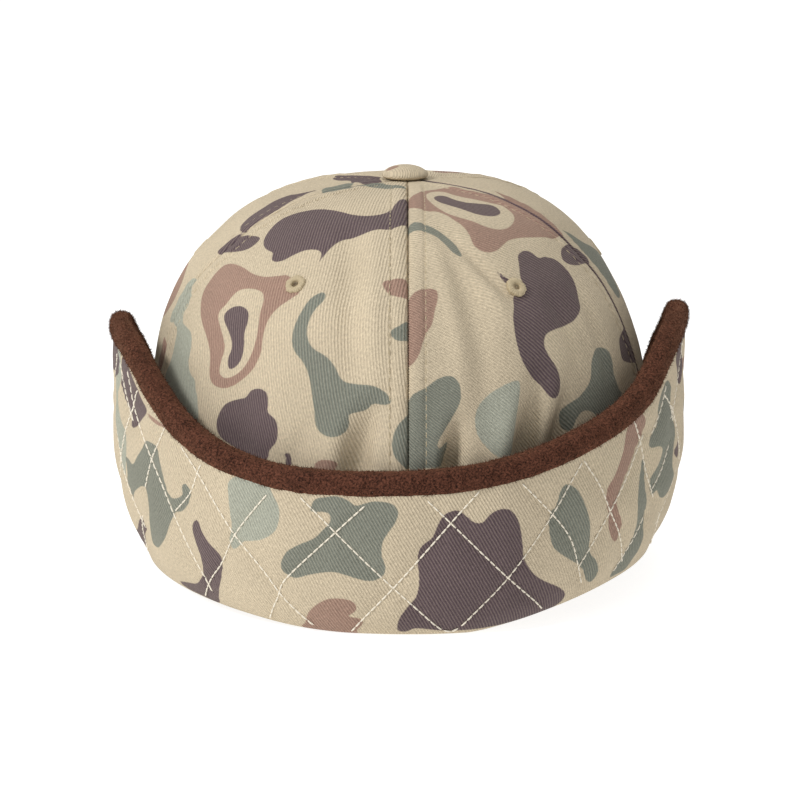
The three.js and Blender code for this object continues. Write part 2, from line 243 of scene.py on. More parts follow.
def nearestOnLine(points, line, closed):
    # distance from each point to the line, and how far along the line it lies
    start = line if closed else line[:-1]
    step = (np.roll(line, -1, axis=0) if closed else line[1:]) - start
    length = np.linalg.norm(step, axis=1)
    run = np.concatenate([[0], np.cumsum(length)[:-1]])
    best = np.full(len(points), 1e9)
    along = np.zeros(len(points))
    for a, s, size, before in zip(start, step, length, run):
        t = np.clip(((points - a) @ s) / max(size * size, 1e-9), 0, 1)
        away = np.linalg.norm(points - a - t[:, None] * s, axis=1)
        nearer = away < best
        best[nearer] = away[nearer]
        along[nearer] = before + t[nearer] * size
    return best, along


def insideLoop(points, loop):
    inside = np.zeros(len(points), bool)
    x, y = points.T
    for (x1, y1), (x2, y2) in zip(loop, np.roll(loop, -1, axis=0)):
        crosses = (y1 > y) != (y2 > y)
        if y1 != y2:
            inside ^= crosses & (x < (x2 - x1) * (y - y1) / (y2 - y1) + x1)
    return inside


def edgeDistance(points, outline):
    loop = smoothCurve(outline)
    value = np.full(len(points), -printReach)
    near = np.all((points > loop.min(0) - printReach) & (points < loop.max(0) + printReach), axis=1)
    if near.any():
        away, _ = nearestOnLine(points[near], loop, True)
        value[near] = np.minimum(np.where(insideLoop(points[near], loop), away, -away), printReach)
    return np.maximum(value, -printReach)


def printOn(places, chart):
    # distances to the edge of each ink, where a hole in a spot shows the base colour
    flat = places.reshape(-1, 2)
    found = {ink: np.full(len(flat), -printReach) for ink in inks}
    for ink, outline, *holes in chart:
        value = edgeDistance(flat, outline)
        for hole in holes:
            value = np.minimum(value, -edgeDistance(flat, hole))
        found[ink] = np.maximum(found[ink], value)
    return {ink: value.reshape(places.shape[:-1]) for ink, value in found.items()}


def turned(x, y, degrees):
    turn = np.radians(degrees)
    return np.stack([x * np.cos(turn) - y * np.sin(turn), x * np.sin(turn) + y * np.cos(turn)], -1)


backLeftPrint = [
    ("dark", [
        (-21.8, 136.9), (-21.3, 141.3), (-19.4, 145.6), (-15.6, 149.8), (-10.6, 153.1), (-5, 154.5),
        (0.6, 153.8), (6.3, 152.1), (11.3, 151.8), (15, 153.5), (16.5, 156.3), (16, 161.3), (15.4, 165),
        (16.5, 167.3), (21, 170), (30, 144), (27.5, 146), (24, 142.8), (20, 142.1), (16.3, 140.6),
        (12.5, 139), (10, 137.5), (8.5, 133.1), (8.1, 126.3), (7.3, 129), (5.6, 130.9), (3.1, 131.3),
        (0, 130.5), (-3.1, 127.9), (-5.6, 125.3), (-8.8, 124.1), (-11, 125), (-12.3, 127.5), (-15.6, 128.3),
        (-18.8, 129.8), (-21, 132.5)]),
    ("dark", [
        (-23.4, 131.5), (-24.4, 132.8), (-27.3, 132.9), (-30.6, 132.1), (-35.6, 130), (-41, 125.5),
        (-41.3, 122.3), (-36.9, 122.8), (-32.5, 124.4), (-28.1, 126), (-25, 128.1)]),
    ("rose", [
        (-36.5, 113.8), (-35, 117.3), (-31.9, 119.4), (-27.3, 120), (-21.3, 119.4), (-15, 117.9),
        (-8.8, 117.5), (-3.8, 118.5), (0.6, 119.1), (8.1, 113.8), (6.9, 110.6), (4.4, 107.5), (2.5, 103.8),
        (1.9, 100), (2.3, 95), (3.1, 91.3), (2.5, 87.5), (0.6, 83.8), (-3.1, 80.3), (-7.5, 77.5),
        (-11.9, 76.5), (-16.3, 77.3), (-18.8, 80), (-19.8, 84.4), (-21.3, 88.1), (-24.4, 91.9),
        (-28.8, 95.6), (-33.1, 99.4), (-36.3, 103.8), (-37.5, 108.1)],
     [
        (-18.8, 108.1), (-16.9, 110.6), (-13.1, 111.9), (-8.8, 112), (-5.3, 111), (-3.1, 108.1),
        (-2.3, 103.8), (-1, 98.8), (-0.3, 94.4), (-0.6, 90), (-2.3, 85.6), (-5, 82.5), (-8.8, 80.4),
        (-11.9, 80.3), (-14, 81.9), (-14, 85.6), (-13.5, 89.4), (-15, 92.5), (-18.1, 96), (-21.3, 99.4),
        (-21.9, 101.9), (-20.3, 104.4)]),
    ("dark", [
        (-18.8, 101.3), (-16.9, 103.8), (-13.5, 105.1), (-10, 104.8), (-7.3, 103.1), (-6.3, 100),
        (-6.3, 96.3), (-5, 92.5), (-4.6, 88.8), (-5.6, 85.6), (-8.1, 83.5), (-10, 84), (-10.9, 86.9),
        (-10.3, 90), (-11.3, 93.1), (-14.4, 96.3), (-17.5, 98.8)]),
    ("green", [
        (16.3, 114), (18.1, 112.9), (18.5, 110.6), (17.3, 106.9), (17.3, 101.9), (18.8, 97.5), (21.9, 94),
        (27.5, 91.3), (31.3, 88.1), (33.1, 85.6), (35.6, 83.5), (40, 82.8), (45, 82.5), (48.8, 81),
        (51.3, 79), (52.5, 76.9), (50, 76.3), (46.3, 76.5), (44.4, 74.4), (41.5, 73.4), (39, 72.5),
        (39.4, 69.4), (38.1, 66.5), (34.4, 65), (30.6, 66), (28.1, 68.8), (26.9, 73.8), (25, 80),
        (22.5, 85.6), (19.4, 89.4), (15.6, 92.5), (13.5, 96.3), (12.8, 101.3), (13.1, 106.9),
        (13.8, 111.3)]),
    ("dark", [
        (-12.3, 63.8), (-11.3, 68.1), (-8.8, 71.5), (-4.4, 73.5), (-0.3, 74.8), (1.9, 77.5), (5.6, 78.6),
        (8.8, 77.3), (10, 73.8), (10.3, 71.3), (13.8, 68.8), (14.8, 64.4), (14, 61.3), (11.9, 58.8),
        (11.3, 55.6), (7.5, 54.4), (2.5, 55.6), (-3.8, 57.5), (-10, 60)]),
    ("dark", [(17.5, 58.1), (19, 58.8), (20, 56.3), (20, 54), (18.1, 54.4), (18.1, 56.3)]),
    ("rose", [(28.8, 54.4), (30, 56.9), (33.1, 57.5), (36.3, 56.5), (35, 53.8)]),
    ("rose", [
        (34.8, 118.1), (36.9, 119.6), (41.9, 119.6), (47.5, 113), (45.6, 112.5), (41.3, 113.1),
        (37.5, 115)]),
    ("green", [
        (46, 100.3), (48.1, 102.5), (50.6, 104.4), (56, 103), (54.4, 98.1), (52.5, 97.5), (48.8, 97.5)]),
    ("green", [(54.4, 63.8), (55, 68.1), (56.9, 71.3), (60, 72.5), (60.6, 56.3), (57.5, 57.5), (55.3, 60)]),
    ("green", [
        (-9.8, 179.4), (-8.1, 183.8), (-5, 187.5), (0, 187.8), (5, 186.3), (8.8, 183.8), (8.1, 181.3),
        (5, 181.5), (0, 181.3), (-5, 181.3), (-7.5, 179.4)]),
    ("green", [(-10, 178.5), (-9.5, 175), (-12.5, 170), (-16.5, 165.8), (-20, 164), (-16, 172), (-13, 178)]),
    ("mint", [
        (-50, 106.5), (-47.5, 106.3), (-45.3, 103.8), (-45, 100), (-46.3, 96.3), (-44.4, 93.8),
        (-39.4, 92.8), (-35, 91.5), (-32.8, 87.5), (-32.8, 81.9), (-30.6, 78.5), (-27.3, 76.9), (-26, 73.8),
        (-23.8, 70.6), (-22.5, 63.1), (-32.5, 60), (-45, 66), (-51, 74), (-48.1, 79.4), (-46.9, 85),
        (-47.8, 90), (-50.5, 92), (-55, 92.8), (-58, 98), (-54, 104)]),
    ("rose", [(-60, 84), (-54.5, 83.5), (-54.5, 79), (-57, 75), (-60, 74)]),
]
backRightPrint = [
    ("rose", [
        (-1.3, 179.6), (2.5, 180.3), (6.3, 179), (8.1, 176), (10.6, 170.6), (15, 164.4), (20, 160.6),
        (28, 158), (38, 135), (34, 131.5), (27.5, 131), (22.5, 132.5), (16.3, 133.8), (10, 135), (5, 134.8),
        (1.3, 133.1), (-2.5, 131), (-6.3, 130.3), (-9, 131.9), (-9.8, 135), (-8.8, 139.4), (-8.5, 144.4),
        (-9.4, 148.8), (-10.2, 152.5), (-12, 155.6), (-15.6, 156.3), (-20, 160), (-15.5, 168),
        (-10.6, 172.5), (-7.5, 175.9), (-3.8, 178.6)],
     [
        (-10.3, 160), (-10, 164.4), (-9, 168.8), (-6.9, 173.1), (-3.8, 176.3), (-0.6, 176.9), (1.5, 175),
        (2.5, 170.6), (4, 166.9), (7.5, 162.5), (11.9, 158.1), (15, 155), (16.5, 150.6), (15.6, 146.3),
        (12.5, 143.1), (8.1, 141), (3.8, 141), (0, 143.1), (-3.1, 146.9), (-6.3, 150), (-8.8, 153.1),
        (-10, 156.9)]),
    ("dark", [
        (-6.9, 167.3), (-5.6, 170), (-3.1, 171.3), (-1.3, 170.3), (-0.9, 167.3), (0, 163.8), (2.5, 161),
        (6.9, 159), (10.6, 156.9), (12.1, 154), (11.5, 150.6), (8.8, 149.1), (5, 149.4), (0.6, 151.9),
        (-2.5, 156.3), (-5.6, 160.6), (-7.1, 163.8)]),
    ("green", [
        (-28.8, 142.3), (-27.3, 145), (-24.4, 147.3), (-21.3, 146.9), (-18.1, 143.8), (-16.3, 140),
        (-15.4, 135.6), (-16, 130.6), (-17.1, 129.8), (-18.8, 131.9), (-19.4, 135.6), (-20.6, 139.4),
        (-23.1, 141.3), (-26.3, 141.9), (-31, 141)]),
    ("dark", [
        (0, 118.8), (2.5, 123.8), (4.4, 127.5), (7.5, 129), (10.6, 128.1), (12.8, 125), (16.3, 124.8),
        (21.3, 122.5), (24.4, 118.1), (25.5, 113.1), (24.8, 108.1), (21.9, 103.1), (16.9, 99.6),
        (11.3, 98.4), (3.8, 97.5), (-0.6, 96.3), (-2.8, 93.1), (-2.3, 89.4), (-0.6, 85.6), (0.3, 81.3),
        (-0.6, 76.9), (-3.1, 75), (-5.6, 76.3), (-7.5, 80), (-10.6, 83.1), (-12.8, 87.5), (-13.4, 92.5),
        (-12.8, 98.1), (-11.3, 103.8), (-8.8, 107.8), (-6.3, 111.9), (-3.1, 113.8), (-0.6, 116.3)]),
    ("dark", [(-7.6, 122.4), (-6.2, 119.8), (-4.6, 117.6), (-4.2, 116.6), (-6, 116.4), (-7.2, 118.6)]),
    ("dark", [
        (25.3, 121.9), (26.9, 125), (30.6, 126.5), (36.3, 125.6), (41.9, 116.9), (38.8, 117.1),
        (32.5, 117.8), (27.5, 119.4)]),
    ("dark", [
        (40, 82.5), (41.9, 86.9), (46.3, 89), (52.5, 90), (55.6, 78.1), (50, 78.1), (44.4, 79.4),
        (41, 80.6)]),
    ("rose", [
        (-32.8, 115.6), (-33.8, 112.5), (-36.9, 108.1), (-40, 103.1), (-43.1, 100), (-45.6, 96.3),
        (-48.1, 92.5), (-51.3, 89.4), (-54, 90), (-47.5, 105), (-44.4, 111.3), (-40, 114.8),
        (-35.6, 116.3)]),
    ("green", [
        (-37.5, 83.1), (-39.4, 85.6), (-43.8, 84.8), (-48.8, 81.9), (-53.8, 79.4), (-56.3, 75),
        (-57.3, 67.5), (-57.5, 55.6), (-52.5, 55.6), (-46.3, 56.3), (-44.4, 59.4), (-43.8, 63.1),
        (-45.3, 63.1), (-48.1, 61.9), (-47.8, 64.4), (-45.6, 67.5), (-41.9, 71.9), (-38.5, 76.9),
        (-37.5, 80.6)]),
    ("mint", [
        (-16.9, 82.5), (-16.3, 80.3), (-18.1, 75), (-20.3, 68.8), (-21.9, 62.5), (-23.8, 57.5),
        (-28.1, 58.1), (-31.3, 61.3), (-34, 65.6), (-34.4, 70.6), (-32.5, 75), (-27.5, 78.8),
        (-21.9, 81.3)]),
    ("green", [
        (1.5, 68.8), (2.5, 70.6), (6.3, 72.8), (12.5, 75), (16.9, 78.8), (20, 84.4), (23.1, 87.5),
        (28.1, 87.8), (31.5, 85.6), (32.3, 81.9), (31.5, 77.5), (33.1, 72.5), (35, 69.4), (21.3, 66.9),
        (17.5, 65.6), (13.8, 68.1), (10, 68.8), (6.9, 66.9), (4.4, 63.1), (1.9, 64.4)]),
]
sideLeftPrint = [
    ("dark", [
        (-6.3, 191.3), (0, 191.5), (6.9, 190.6), (10, 184), (5, 181), (0, 180.5), (-2, 176), (-8, 173),
        (-14, 172.5), (-18, 171), (-12, 180), (-8, 188)]),
    ("green", [
        (4.4, 179.4), (6.9, 181.3), (15, 176.3), (20, 166.9), (16.3, 167.3), (11.9, 171.3), (7.5, 176.3)]),
    ("dark", [
        (10.6, 156.9), (12.5, 159.4), (13.1, 163.8), (11.9, 165.6), (15, 165.6), (18.8, 161.3), (23.1, 155),
        (27.5, 148.8), (30.6, 142.5), (33.1, 136.3), (34.6, 132.5), (29.4, 133.1), (23.8, 135), (20, 138.8),
        (16.9, 145), (12.5, 150.6)]),
    ("dark", [(34, 131), (36, 130), (38.5, 122), (34.5, 122.5)]),
    ("rose", [
        (-11.9, 100), (-8.8, 105), (-2.5, 108.8), (7.5, 110.3), (17.5, 108.8), (25, 105), (28.1, 98.8),
        (25, 92.5), (17.5, 88.8), (7.5, 86.3), (-2.5, 88.8), (-8.8, 93.8)]),
    ("mint", [(36.5, 108), (41, 108), (42, 93), (37, 93), (35.5, 100)]),
    ("mint", [
        (-30, 91.3), (-23.8, 93.8), (-15, 85), (-18.8, 80), (-21.3, 75), (-22.5, 68.8), (-18.8, 62.5),
        (-30, 51.3), (-41.3, 51.3), (-36.3, 60), (-38.1, 67.5), (-35, 73.8), (-26.3, 76.9), (-23.8, 81.3),
        (-28.8, 86.3)]),
    ("rose", [(-13.1, 72.5), (-6.3, 76.3), (-2, 73), (-10, 66.3)]),
    ("rose", [(36.5, 85), (42, 84), (43.5, 76), (38, 75)]),
    ("dark", [(-33, 128), (-27, 134), (-19, 134), (-15, 127), (-18, 119), (-25, 116), (-32, 120)]),
]
sideRightPrint = [
    ("rose", [
        (-30, 150), (-17, 164), (-15.5, 163), (-20, 156), (-26, 146), (-31.5, 135.5), (-35, 130),
        (-38, 132)]),
    ("dark", [(-40, 126), (-36.5, 125), (-35.5, 120), (-37, 117), (-40, 116)]),
    ("green", [
        (-30.6, 132.5), (-26.3, 130.6), (-21.3, 123.8), (-15, 120), (-10, 115), (-12.5, 107.5),
        (-22.5, 100), (-30, 99.4), (-33.1, 105), (-33.1, 113.8), (-31.9, 122.5)]),
    ("dark", [
        (9, 127), (14, 133), (21, 132), (27, 125), (31, 117), (28, 111), (20, 110), (14, 115), (9, 120)]),
    ("rose", [(6, 98), (12, 104), (22, 105), (30, 99), (31, 90), (25, 84), (16, 81), (8, 84), (3, 90)]),
    ("mint", [(-14, 88), (-8, 94), (-3, 88), (-4, 77), (0, 66), (-3, 56), (-11, 54), (-15, 64), (-13, 76)]),
    ("green", [(20, 66), (29, 73), (38, 68), (36, 57), (40, 47), (32, 41), (23, 46), (17, 56)]),
]
frontPrint = [
    ("dark", [
        (-30, 150), (-20, 158), (-8, 156), (0, 148), (10, 146), (18, 138), (14, 128), (4, 126), (-4, 118),
        (-16, 116), (-26, 122), (-33, 132), (-35, 142)]),
    ("rose", [
        (12, 104), (22, 112), (36, 112), (46, 104), (48, 90), (42, 76), (30, 68), (20, 70), (14, 80),
        (8, 92)],
     [
        (20, 100), (30, 104), (39, 98), (40, 86), (34, 77), (26, 78), (20, 87)]),
    ("dark", [(26, 96), (31, 98), (34, 92), (32, 84), (28, 82), (25, 88)]),
    ("green", [
        (-46, 112), (-40, 104), (-42, 94), (-34, 86), (-22, 84), (-16, 76), (-20, 68), (-30, 68), (-38, 60),
        (-46, 62), (-48, 74), (-54, 84), (-54, 100)]),
    ("mint", [
        (-10, 98), (-4, 106), (4, 104), (6, 94), (2, 84), (4, 72), (-2, 64), (-9, 68), (-12, 80),
        (-14, 90)]),
    ("dark", [
        (-24, 52), (-14, 58), (-2, 54), (8, 58), (20, 54), (24, 44), (16, 34), (4, 32), (-8, 28), (-20, 34),
        (-28, 42)]),
    ("green", [(24, 150), (30, 140), (34, 128), (30, 120), (23, 124), (18, 136), (16, 148), (19, 154)]),
    ("rose", [(-6, 176), (1, 178), (5, 171), (4, 164), (-3, 161), (-9, 165), (-10, 171)]),
    ("mint", [(34, 58), (42, 62), (50, 54), (52, 40), (46, 28), (38, 32), (36, 44)]),
    ("rose", [(-44, 44), (-36, 40), (-34, 30), (-40, 22), (-50, 24), (-52, 36)]),
]
flapPrint = [
    ("dark", [
        (-132.4, 71.4), (-130.7, 77.1), (-127, 80.7), (-117.9, 76.4), (-110.7, 70.7), (-104.3, 66.4),
        (-108.6, 62.6), (-112.1, 60.7), (-115, 58.6), (-119.3, 57.9), (-120, 62.1), (-125, 65),
        (-129.3, 68.6)]),
    ("rose", [(-104.3, 65.7), (-93.6, 62.9), (-97.9, 62.6), (-102.9, 64.3)]),
    ("mint", [
        (-139.3, 82.9), (-134.3, 85), (-131.4, 82.1), (-132.4, 76.4), (-132.9, 69.3), (-134.3, 66.4),
        (-130.7, 57.1), (-125.7, 52.1), (-126.4, 42.9), (-132.9, 37.1), (-140.7, 42.9), (-141.4, 52.9),
        (-136.4, 62.9), (-138.6, 71.4)]),
    ("green", [
        (-126.4, 45.7), (-122.1, 46), (-117.9, 45), (-114.3, 47.9), (-110, 52.1), (-107.9, 55),
        (-103.6, 55.7), (-100, 54.3), (-97.1, 50.7), (-95, 44.3), (-92.9, 40), (-89.3, 38.9), (-85, 40.7),
        (-84.3, 44.3), (-82.4, 45), (-80.7, 42.1), (-82.1, 37.9), (-85.7, 35), (-90, 33.6), (-92.9, 29.3),
        (-96.4, 24.3), (-100.7, 20.7), (-105.7, 18.1), (-110.7, 18.3), (-110, 21.4), (-107.9, 26.4),
        (-106.4, 32.1), (-107.9, 37.1), (-111.4, 38.6), (-116.4, 36.4), (-120.7, 33.6), (-123.6, 31.1),
        (-126.4, 32.9), (-128.6, 37.1), (-125.7, 39.3), (-125, 42.9)]),
    ("dark", [
        (-117.9, 25), (-116.7, 22.9), (-118.6, 20.7), (-124.3, 16.4), (-132.1, 12.6), (-143.6, 9.3),
        (-156.4, 7.9), (-165, 8.6), (-165, 14.3), (-153.6, 13.6), (-142.1, 15.7), (-132.1, 18.6),
        (-125, 22.9), (-120.7, 25.4)]),
    ("dark", [
        (-78.6, 32.9), (-76.4, 33.6), (-74.7, 30), (-72.1, 26.4), (-69, 23.6), (-67.9, 20), (-69.3, 14.3),
        (-71.4, 10), (-73.6, 6.4), (-75, 4), (-79.3, 4), (-85, 4.6), (-93.6, 5), (-100, 6.4), (-93.6, 7.9),
        (-85, 9.3), (-81.4, 11.4), (-78.6, 15), (-77.6, 20), (-79, 25.7), (-79.7, 30)]),
    ("mint", [
        (-62, 49.5), (-62.3, 43.6), (-61.9, 34.3), (-63.3, 29.3), (-62.9, 26.3), (-60.5, 26.5), (-57, 29.5),
        (-54.3, 30), (-48.6, 31.7), (-44.3, 35), (-42.9, 40), (-43.6, 43.6), (-45.7, 47.1), (-48, 51),
        (-56, 52)]),
    ("green", [
        (-42.1, 20.7), (-42.9, 23.6), (-40.7, 27.9), (-36.4, 30.7), (-31.4, 33.1), (-27.9, 36.4),
        (-25.7, 39.3), (-26.4, 42.1), (-32.1, 42.1), (-32.1, 43.6), (-30.7, 46.4), (-27.1, 47.4),
        (-23.6, 47.9), (-20, 46.9), (-17.1, 45), (-14.3, 45.7), (-10.7, 46.6), (-5.7, 46), (-3.3, 43.6),
        (-4, 40), (-6.4, 36.4), (-8.3, 32.9), (-8.6, 28.6), (-7.4, 24.3), (-8.6, 21.1), (-12.1, 19.7),
        (-16.4, 20.3), (-20, 21.4), (-24.3, 22.4), (-29.3, 21.7), (-34.3, 20.3), (-38.6, 19)]),
    ("rose", [
        (-38, 1), (-36.4, 2.9), (-34.3, 7.1), (-30.7, 10.7), (-26.4, 13.1), (-21.4, 13.4), (-17.9, 12.1),
        (-17.4, 9.3), (-20, 7.1), (-16.4, 6), (-15.4, 4.3), (-17.9, 1.4), (-18, -3), (-30, -4)]),
    ("dark", [
        (-3.6, 2.1), (-3.1, 6.4), (-0.7, 10), (2.6, 14.3), (3.6, 20), (3.1, 27.1), (4.3, 31.4), (7.9, 34.3),
        (9.7, 38.6), (12.1, 42.1), (15.7, 43.3), (18.6, 41.7), (21.4, 39.3), (24.3, 39), (27.1, 41.7),
        (30.7, 43.1), (34.3, 42.1), (36.9, 37.9), (38.3, 31.4), (39.7, 25), (42.9, 20), (47.9, 16.4),
        (54.3, 13.3), (58.6, 10), (58.8, 7), (56.4, 5.4), (52.9, 4.6), (44.3, 3.1), (32.9, 1.9),
        (21.4, 1.4), (11.4, 1.7), (2.9, 2.9), (-0.7, 1.4)]),
    ("green", [
        (52.6, 46.4), (55, 48.6), (59.3, 46.4), (62.9, 40), (65.4, 33.6), (66.4, 28.6), (67.9, 22.9),
        (71.4, 19.3), (73.6, 15), (72.1, 11.7), (68.6, 12.9), (65.7, 17.1), (62.1, 20), (57.1, 22.9),
        (52.9, 25.7), (50, 28.6), (48.6, 34.3), (49.3, 40), (51.4, 41.7)]),
    ("rose", [
        (82.9, 62.1), (85, 64.6), (88.6, 66.4), (92.9, 66.4), (95, 63.1), (93.6, 60), (90, 56.4),
        (86.4, 50.7), (82.1, 45), (79.3, 39.3), (80, 35.7), (82.9, 31.4), (83.6, 27.9), (81.7, 24.6),
        (78.6, 25.7), (75.7, 30), (75.4, 35), (73.6, 39.3), (73.6, 44.3), (77.1, 49.3), (80.7, 55.7)]),
    ("green", [
        (91.7, 45), (93.6, 49.3), (95.4, 50.3), (96, 46.4), (96.4, 40.7), (98.6, 35.7), (100, 31.4),
        (100.7, 25.7), (102.9, 20), (101.7, 14.3), (99.3, 10.3), (91.4, 10), (85.7, 10.3), (87.4, 13.6),
        (90.7, 17.1), (93.6, 21.4), (94, 26.4), (92.6, 31.4), (91.1, 36.4), (91, 40.7)]),
    ("green", [
        (97.9, 55.7), (101.4, 58.6), (105, 61.4), (104.3, 67.1), (107.1, 71.4), (112.9, 74.3),
        (116.4, 71.4), (117.1, 65.7), (120, 61.4), (123.6, 55.7), (121.4, 50), (120, 42.9), (125.7, 37.1),
        (118.6, 33.1), (111.4, 33.6), (107.1, 37.1), (104.3, 35.7), (101.7, 38.6), (101.4, 42.9),
        (106.4, 47.1), (108.6, 50.7), (105.7, 52.9), (99.3, 53.6)]),
    ("dark", [
        (122.1, 78.6), (124.3, 82.9), (130, 90), (135.7, 91.4), (141.4, 82.9), (138.6, 74.3), (132.1, 69.3),
        (127.9, 72.1)]),
    ("dark", [(121.4, 47.9), (130, 49.3), (131.4, 46.4), (125.7, 44.6)]),
]


# Materials
def linear(hexColour):
    channels = [int(hexColour[i:i + 2], 16) / 255 for i in (1, 3, 5)]
    return [*[c / 12.92 if c <= 0.04045 else ((c + 0.055) / 1.055) ** 2.4 for c in channels], 1]


def addNode(tree, kind, settings={}, links={}):
    node = tree.nodes.new(kind)
    for name, value in settings.items():
        if isinstance(name, int) or name in node.inputs:
            node.inputs[name].default_value = value
        else:
            setattr(node, name, value)
    for name, source in links.items():
        tree.links.new(source, node.inputs[name])
    return node


def newMaterial(name, look):
    material = bpy.data.materials.new(name)
    material.use_nodes = True
    shader = material.node_tree.nodes["Principled BSDF"]
    shader.inputs["Roughness"].default_value = look["roughness"]
    shader.inputs["Specular IOR Level"].default_value = look["specular"]
    shader.inputs["IOR"].default_value = 1.5  # cotton, polyester and paper are all near it
    shader.inputs["Sheen Weight"].default_value = look["sheen"]
    shader.inputs["Sheen Tint"].default_value = linear(look["sheenTint"])
    shader.inputs["Sheen Roughness"].default_value = 0.5
    return material, material.node_tree, shader


twill = {
    "base": "#c5b69c", "mint": "#9fa294", "green": "#75796f", "rose": "#97786a", "dark": "#55454c",
    "roughness": 0.88, "specular": 0.25, "sheen": 0.12, "sheenTint": "#d8cfb4",
    "wale": 1.0,  # mm between the diagonal ridges, coarser than real so that they show
    "waver": 1.1,  # how unevenly the ridges run
    "yarn": 0.6,  # mm, the slubs along a ridge
    "blotch": 20,  # mm, the worn and the darker places
    "edge": 0.22,  # mm, how far an ink runs into the yarns
    "pull": 0.35,  # mm, how far a slub shifts an ink's edge
    "inkOnRidge": 0.85,  # the share of the ink that stays on a ridge's top
    "ridgeShade": (0.88, 1.06), "slubShade": (0.83, 1.17), "blotchShade": (0.96, 1.04),
    "relief": 0.3,  # mm
    "slubRelief": 0.75,  # a slub's height beside a ridge's
    "bump": 0.7,
}


# Cotton twill: a dull cloth with fine diagonal ridges, printed in four inks that leave the
# undyed yarns between the ridges a little paler.
def twillMaterial(name, printed):
    material, tree, shader = newMaterial(name, twill)
    weave = addNode(tree, "ShaderNodeUVMap", {"uv_map": "weave"}).outputs[0]
    ridge = addNode(tree, "ShaderNodeTexWave", {
        "bands_direction": "X", "Scale": 0.1 * np.pi / twill["wale"], "Distortion": twill["waver"],
        "Detail": 2, "Detail Scale": 1.3}, {"Vector": weave}).outputs["Fac"]
    stretched = addNode(tree, "ShaderNodeMapping", {"Scale": (1 / twill["wale"], 0.35 / twill["yarn"], 1)},
                        {"Vector": weave}).outputs[0]
    slub = addNode(tree, "ShaderNodeTexNoise", {"Scale": 1.6, "Detail": 2, "Roughness": 0.6},
                   {"Vector": stretched}).outputs["Fac"]
    blotch = addNode(tree, "ShaderNodeTexNoise", {
        "Scale": 1 / twill["blotch"], "Detail": 3, "Roughness": 0.55}, {"Vector": weave}).outputs["Fac"]
    colour = addNode(tree, "ShaderNodeRGB").outputs[0]
    colour.default_value = linear(twill["base"])
    if printed:
        pull = addNode(tree, "ShaderNodeMapRange", {"To Min": -twill["pull"], "To Max": twill["pull"]},
                       {"Value": slub}).outputs[0]
        for ink in inks:
            away = addNode(tree, "ShaderNodeAttribute", {"attribute_name": ink}).outputs["Fac"]
            soft = addNode(tree, "ShaderNodeMath", {"operation": "ADD"}, {0: away, 1: pull}).outputs[0]
            mask = addNode(tree, "ShaderNodeMapRange", {
                "interpolation_type": "SMOOTHSTEP", "From Min": -twill["edge"], "From Max": twill["edge"],
            }, {"Value": soft}).outputs[0]
            thin = addNode(tree, "ShaderNodeMapRange", {"To Min": 1, "To Max": twill["inkOnRidge"]},
                           {"Value": ridge}).outputs[0]
            cover = addNode(tree, "ShaderNodeMath", {"operation": "MULTIPLY"}, {0: mask, 1: thin}).outputs[0]
            colour = addNode(tree, "ShaderNodeMix", {"data_type": "RGBA", 7: linear(twill[ink])},
                             {0: cover, 6: colour}).outputs[2]
    value = None
    for source, start, end, span in ((ridge, 0, 1, "ridgeShade"), (slub, 0.3, 0.7, "slubShade"),
                                     (blotch, 0.3, 0.7, "blotchShade")):
        low, high = twill[span]
        shade = addNode(tree, "ShaderNodeMapRange", {
            "From Min": start, "From Max": end, "To Min": low, "To Max": high}, {"Value": source}).outputs[0]
        value = shade if value is None else addNode(
            tree, "ShaderNodeMath", {"operation": "MULTIPLY"}, {0: value, 1: shade}).outputs[0]
    shaded = addNode(tree, "ShaderNodeVectorMath", {"operation": "SCALE"},
                     {0: colour, "Scale": value}).outputs[0]
    tree.links.new(shaded, shader.inputs["Base Color"])
    height = addNode(tree, "ShaderNodeMath", {"operation": "MULTIPLY_ADD", 1: twill["slubRelief"]},
                     {0: slub, 2: ridge}).outputs[0]
    bump = addNode(tree, "ShaderNodeBump", {"Strength": twill["bump"], "Distance": twill["relief"] * mm},
                   {"Height": height}).outputs[0]
    tree.links.new(bump, shader.inputs["Normal"])
    return material


fleece = {
    "deep": "#1c0d0a", "light": "#704636",
    "roughness": 0.95, "specular": 0.1, "sheen": 0.45, "sheenTint": "#a87c5c",
    "curl": 0.66,  # mm
    "drift": 9.0,  # mm, the places where the pile lies another way
    "driftShare": 0.15,
    "shadeFrom": 0.43, "shadeTo": 0.76,
    "relief": 0.5,  # mm
    "bump": 0.8,
}


# Brushed polyester fleece: matt, with a short curly pile that catches light at its edges.
def fleeceMaterial():
    material, tree, shader = newMaterial("brushed polyester fleece", fleece)
    place = addNode(tree, "ShaderNodeTexCoord").outputs["Object"]
    curl = addNode(tree, "ShaderNodeTexNoise", {
        "Scale": 1 / (fleece["curl"] * mm), "Detail": 3, "Roughness": 0.7}, {"Vector": place}).outputs["Fac"]
    drift = addNode(tree, "ShaderNodeTexNoise", {"Scale": 1 / (fleece["drift"] * mm), "Detail": 2},
                    {"Vector": place}).outputs["Fac"]
    mixed = addNode(tree, "ShaderNodeMath", {"operation": "MULTIPLY_ADD", 1: fleece["driftShare"]},
                    {0: drift, 2: curl}).outputs[0]
    share = addNode(tree, "ShaderNodeMapRange", {
        "From Min": fleece["shadeFrom"], "From Max": fleece["shadeTo"]}, {"Value": mixed}).outputs[0]
    colour = addNode(tree, "ShaderNodeMix", {
        "data_type": "RGBA", 6: linear(fleece["deep"]), 7: linear(fleece["light"])}, {0: share}).outputs[2]
    tree.links.new(colour, shader.inputs["Base Color"])
    bump = addNode(tree, "ShaderNodeBump", {"Strength": fleece["bump"], "Distance": fleece["relief"] * mm},
                   {"Height": curl}).outputs[0]
    tree.links.new(bump, shader.inputs["Normal"])
    return material


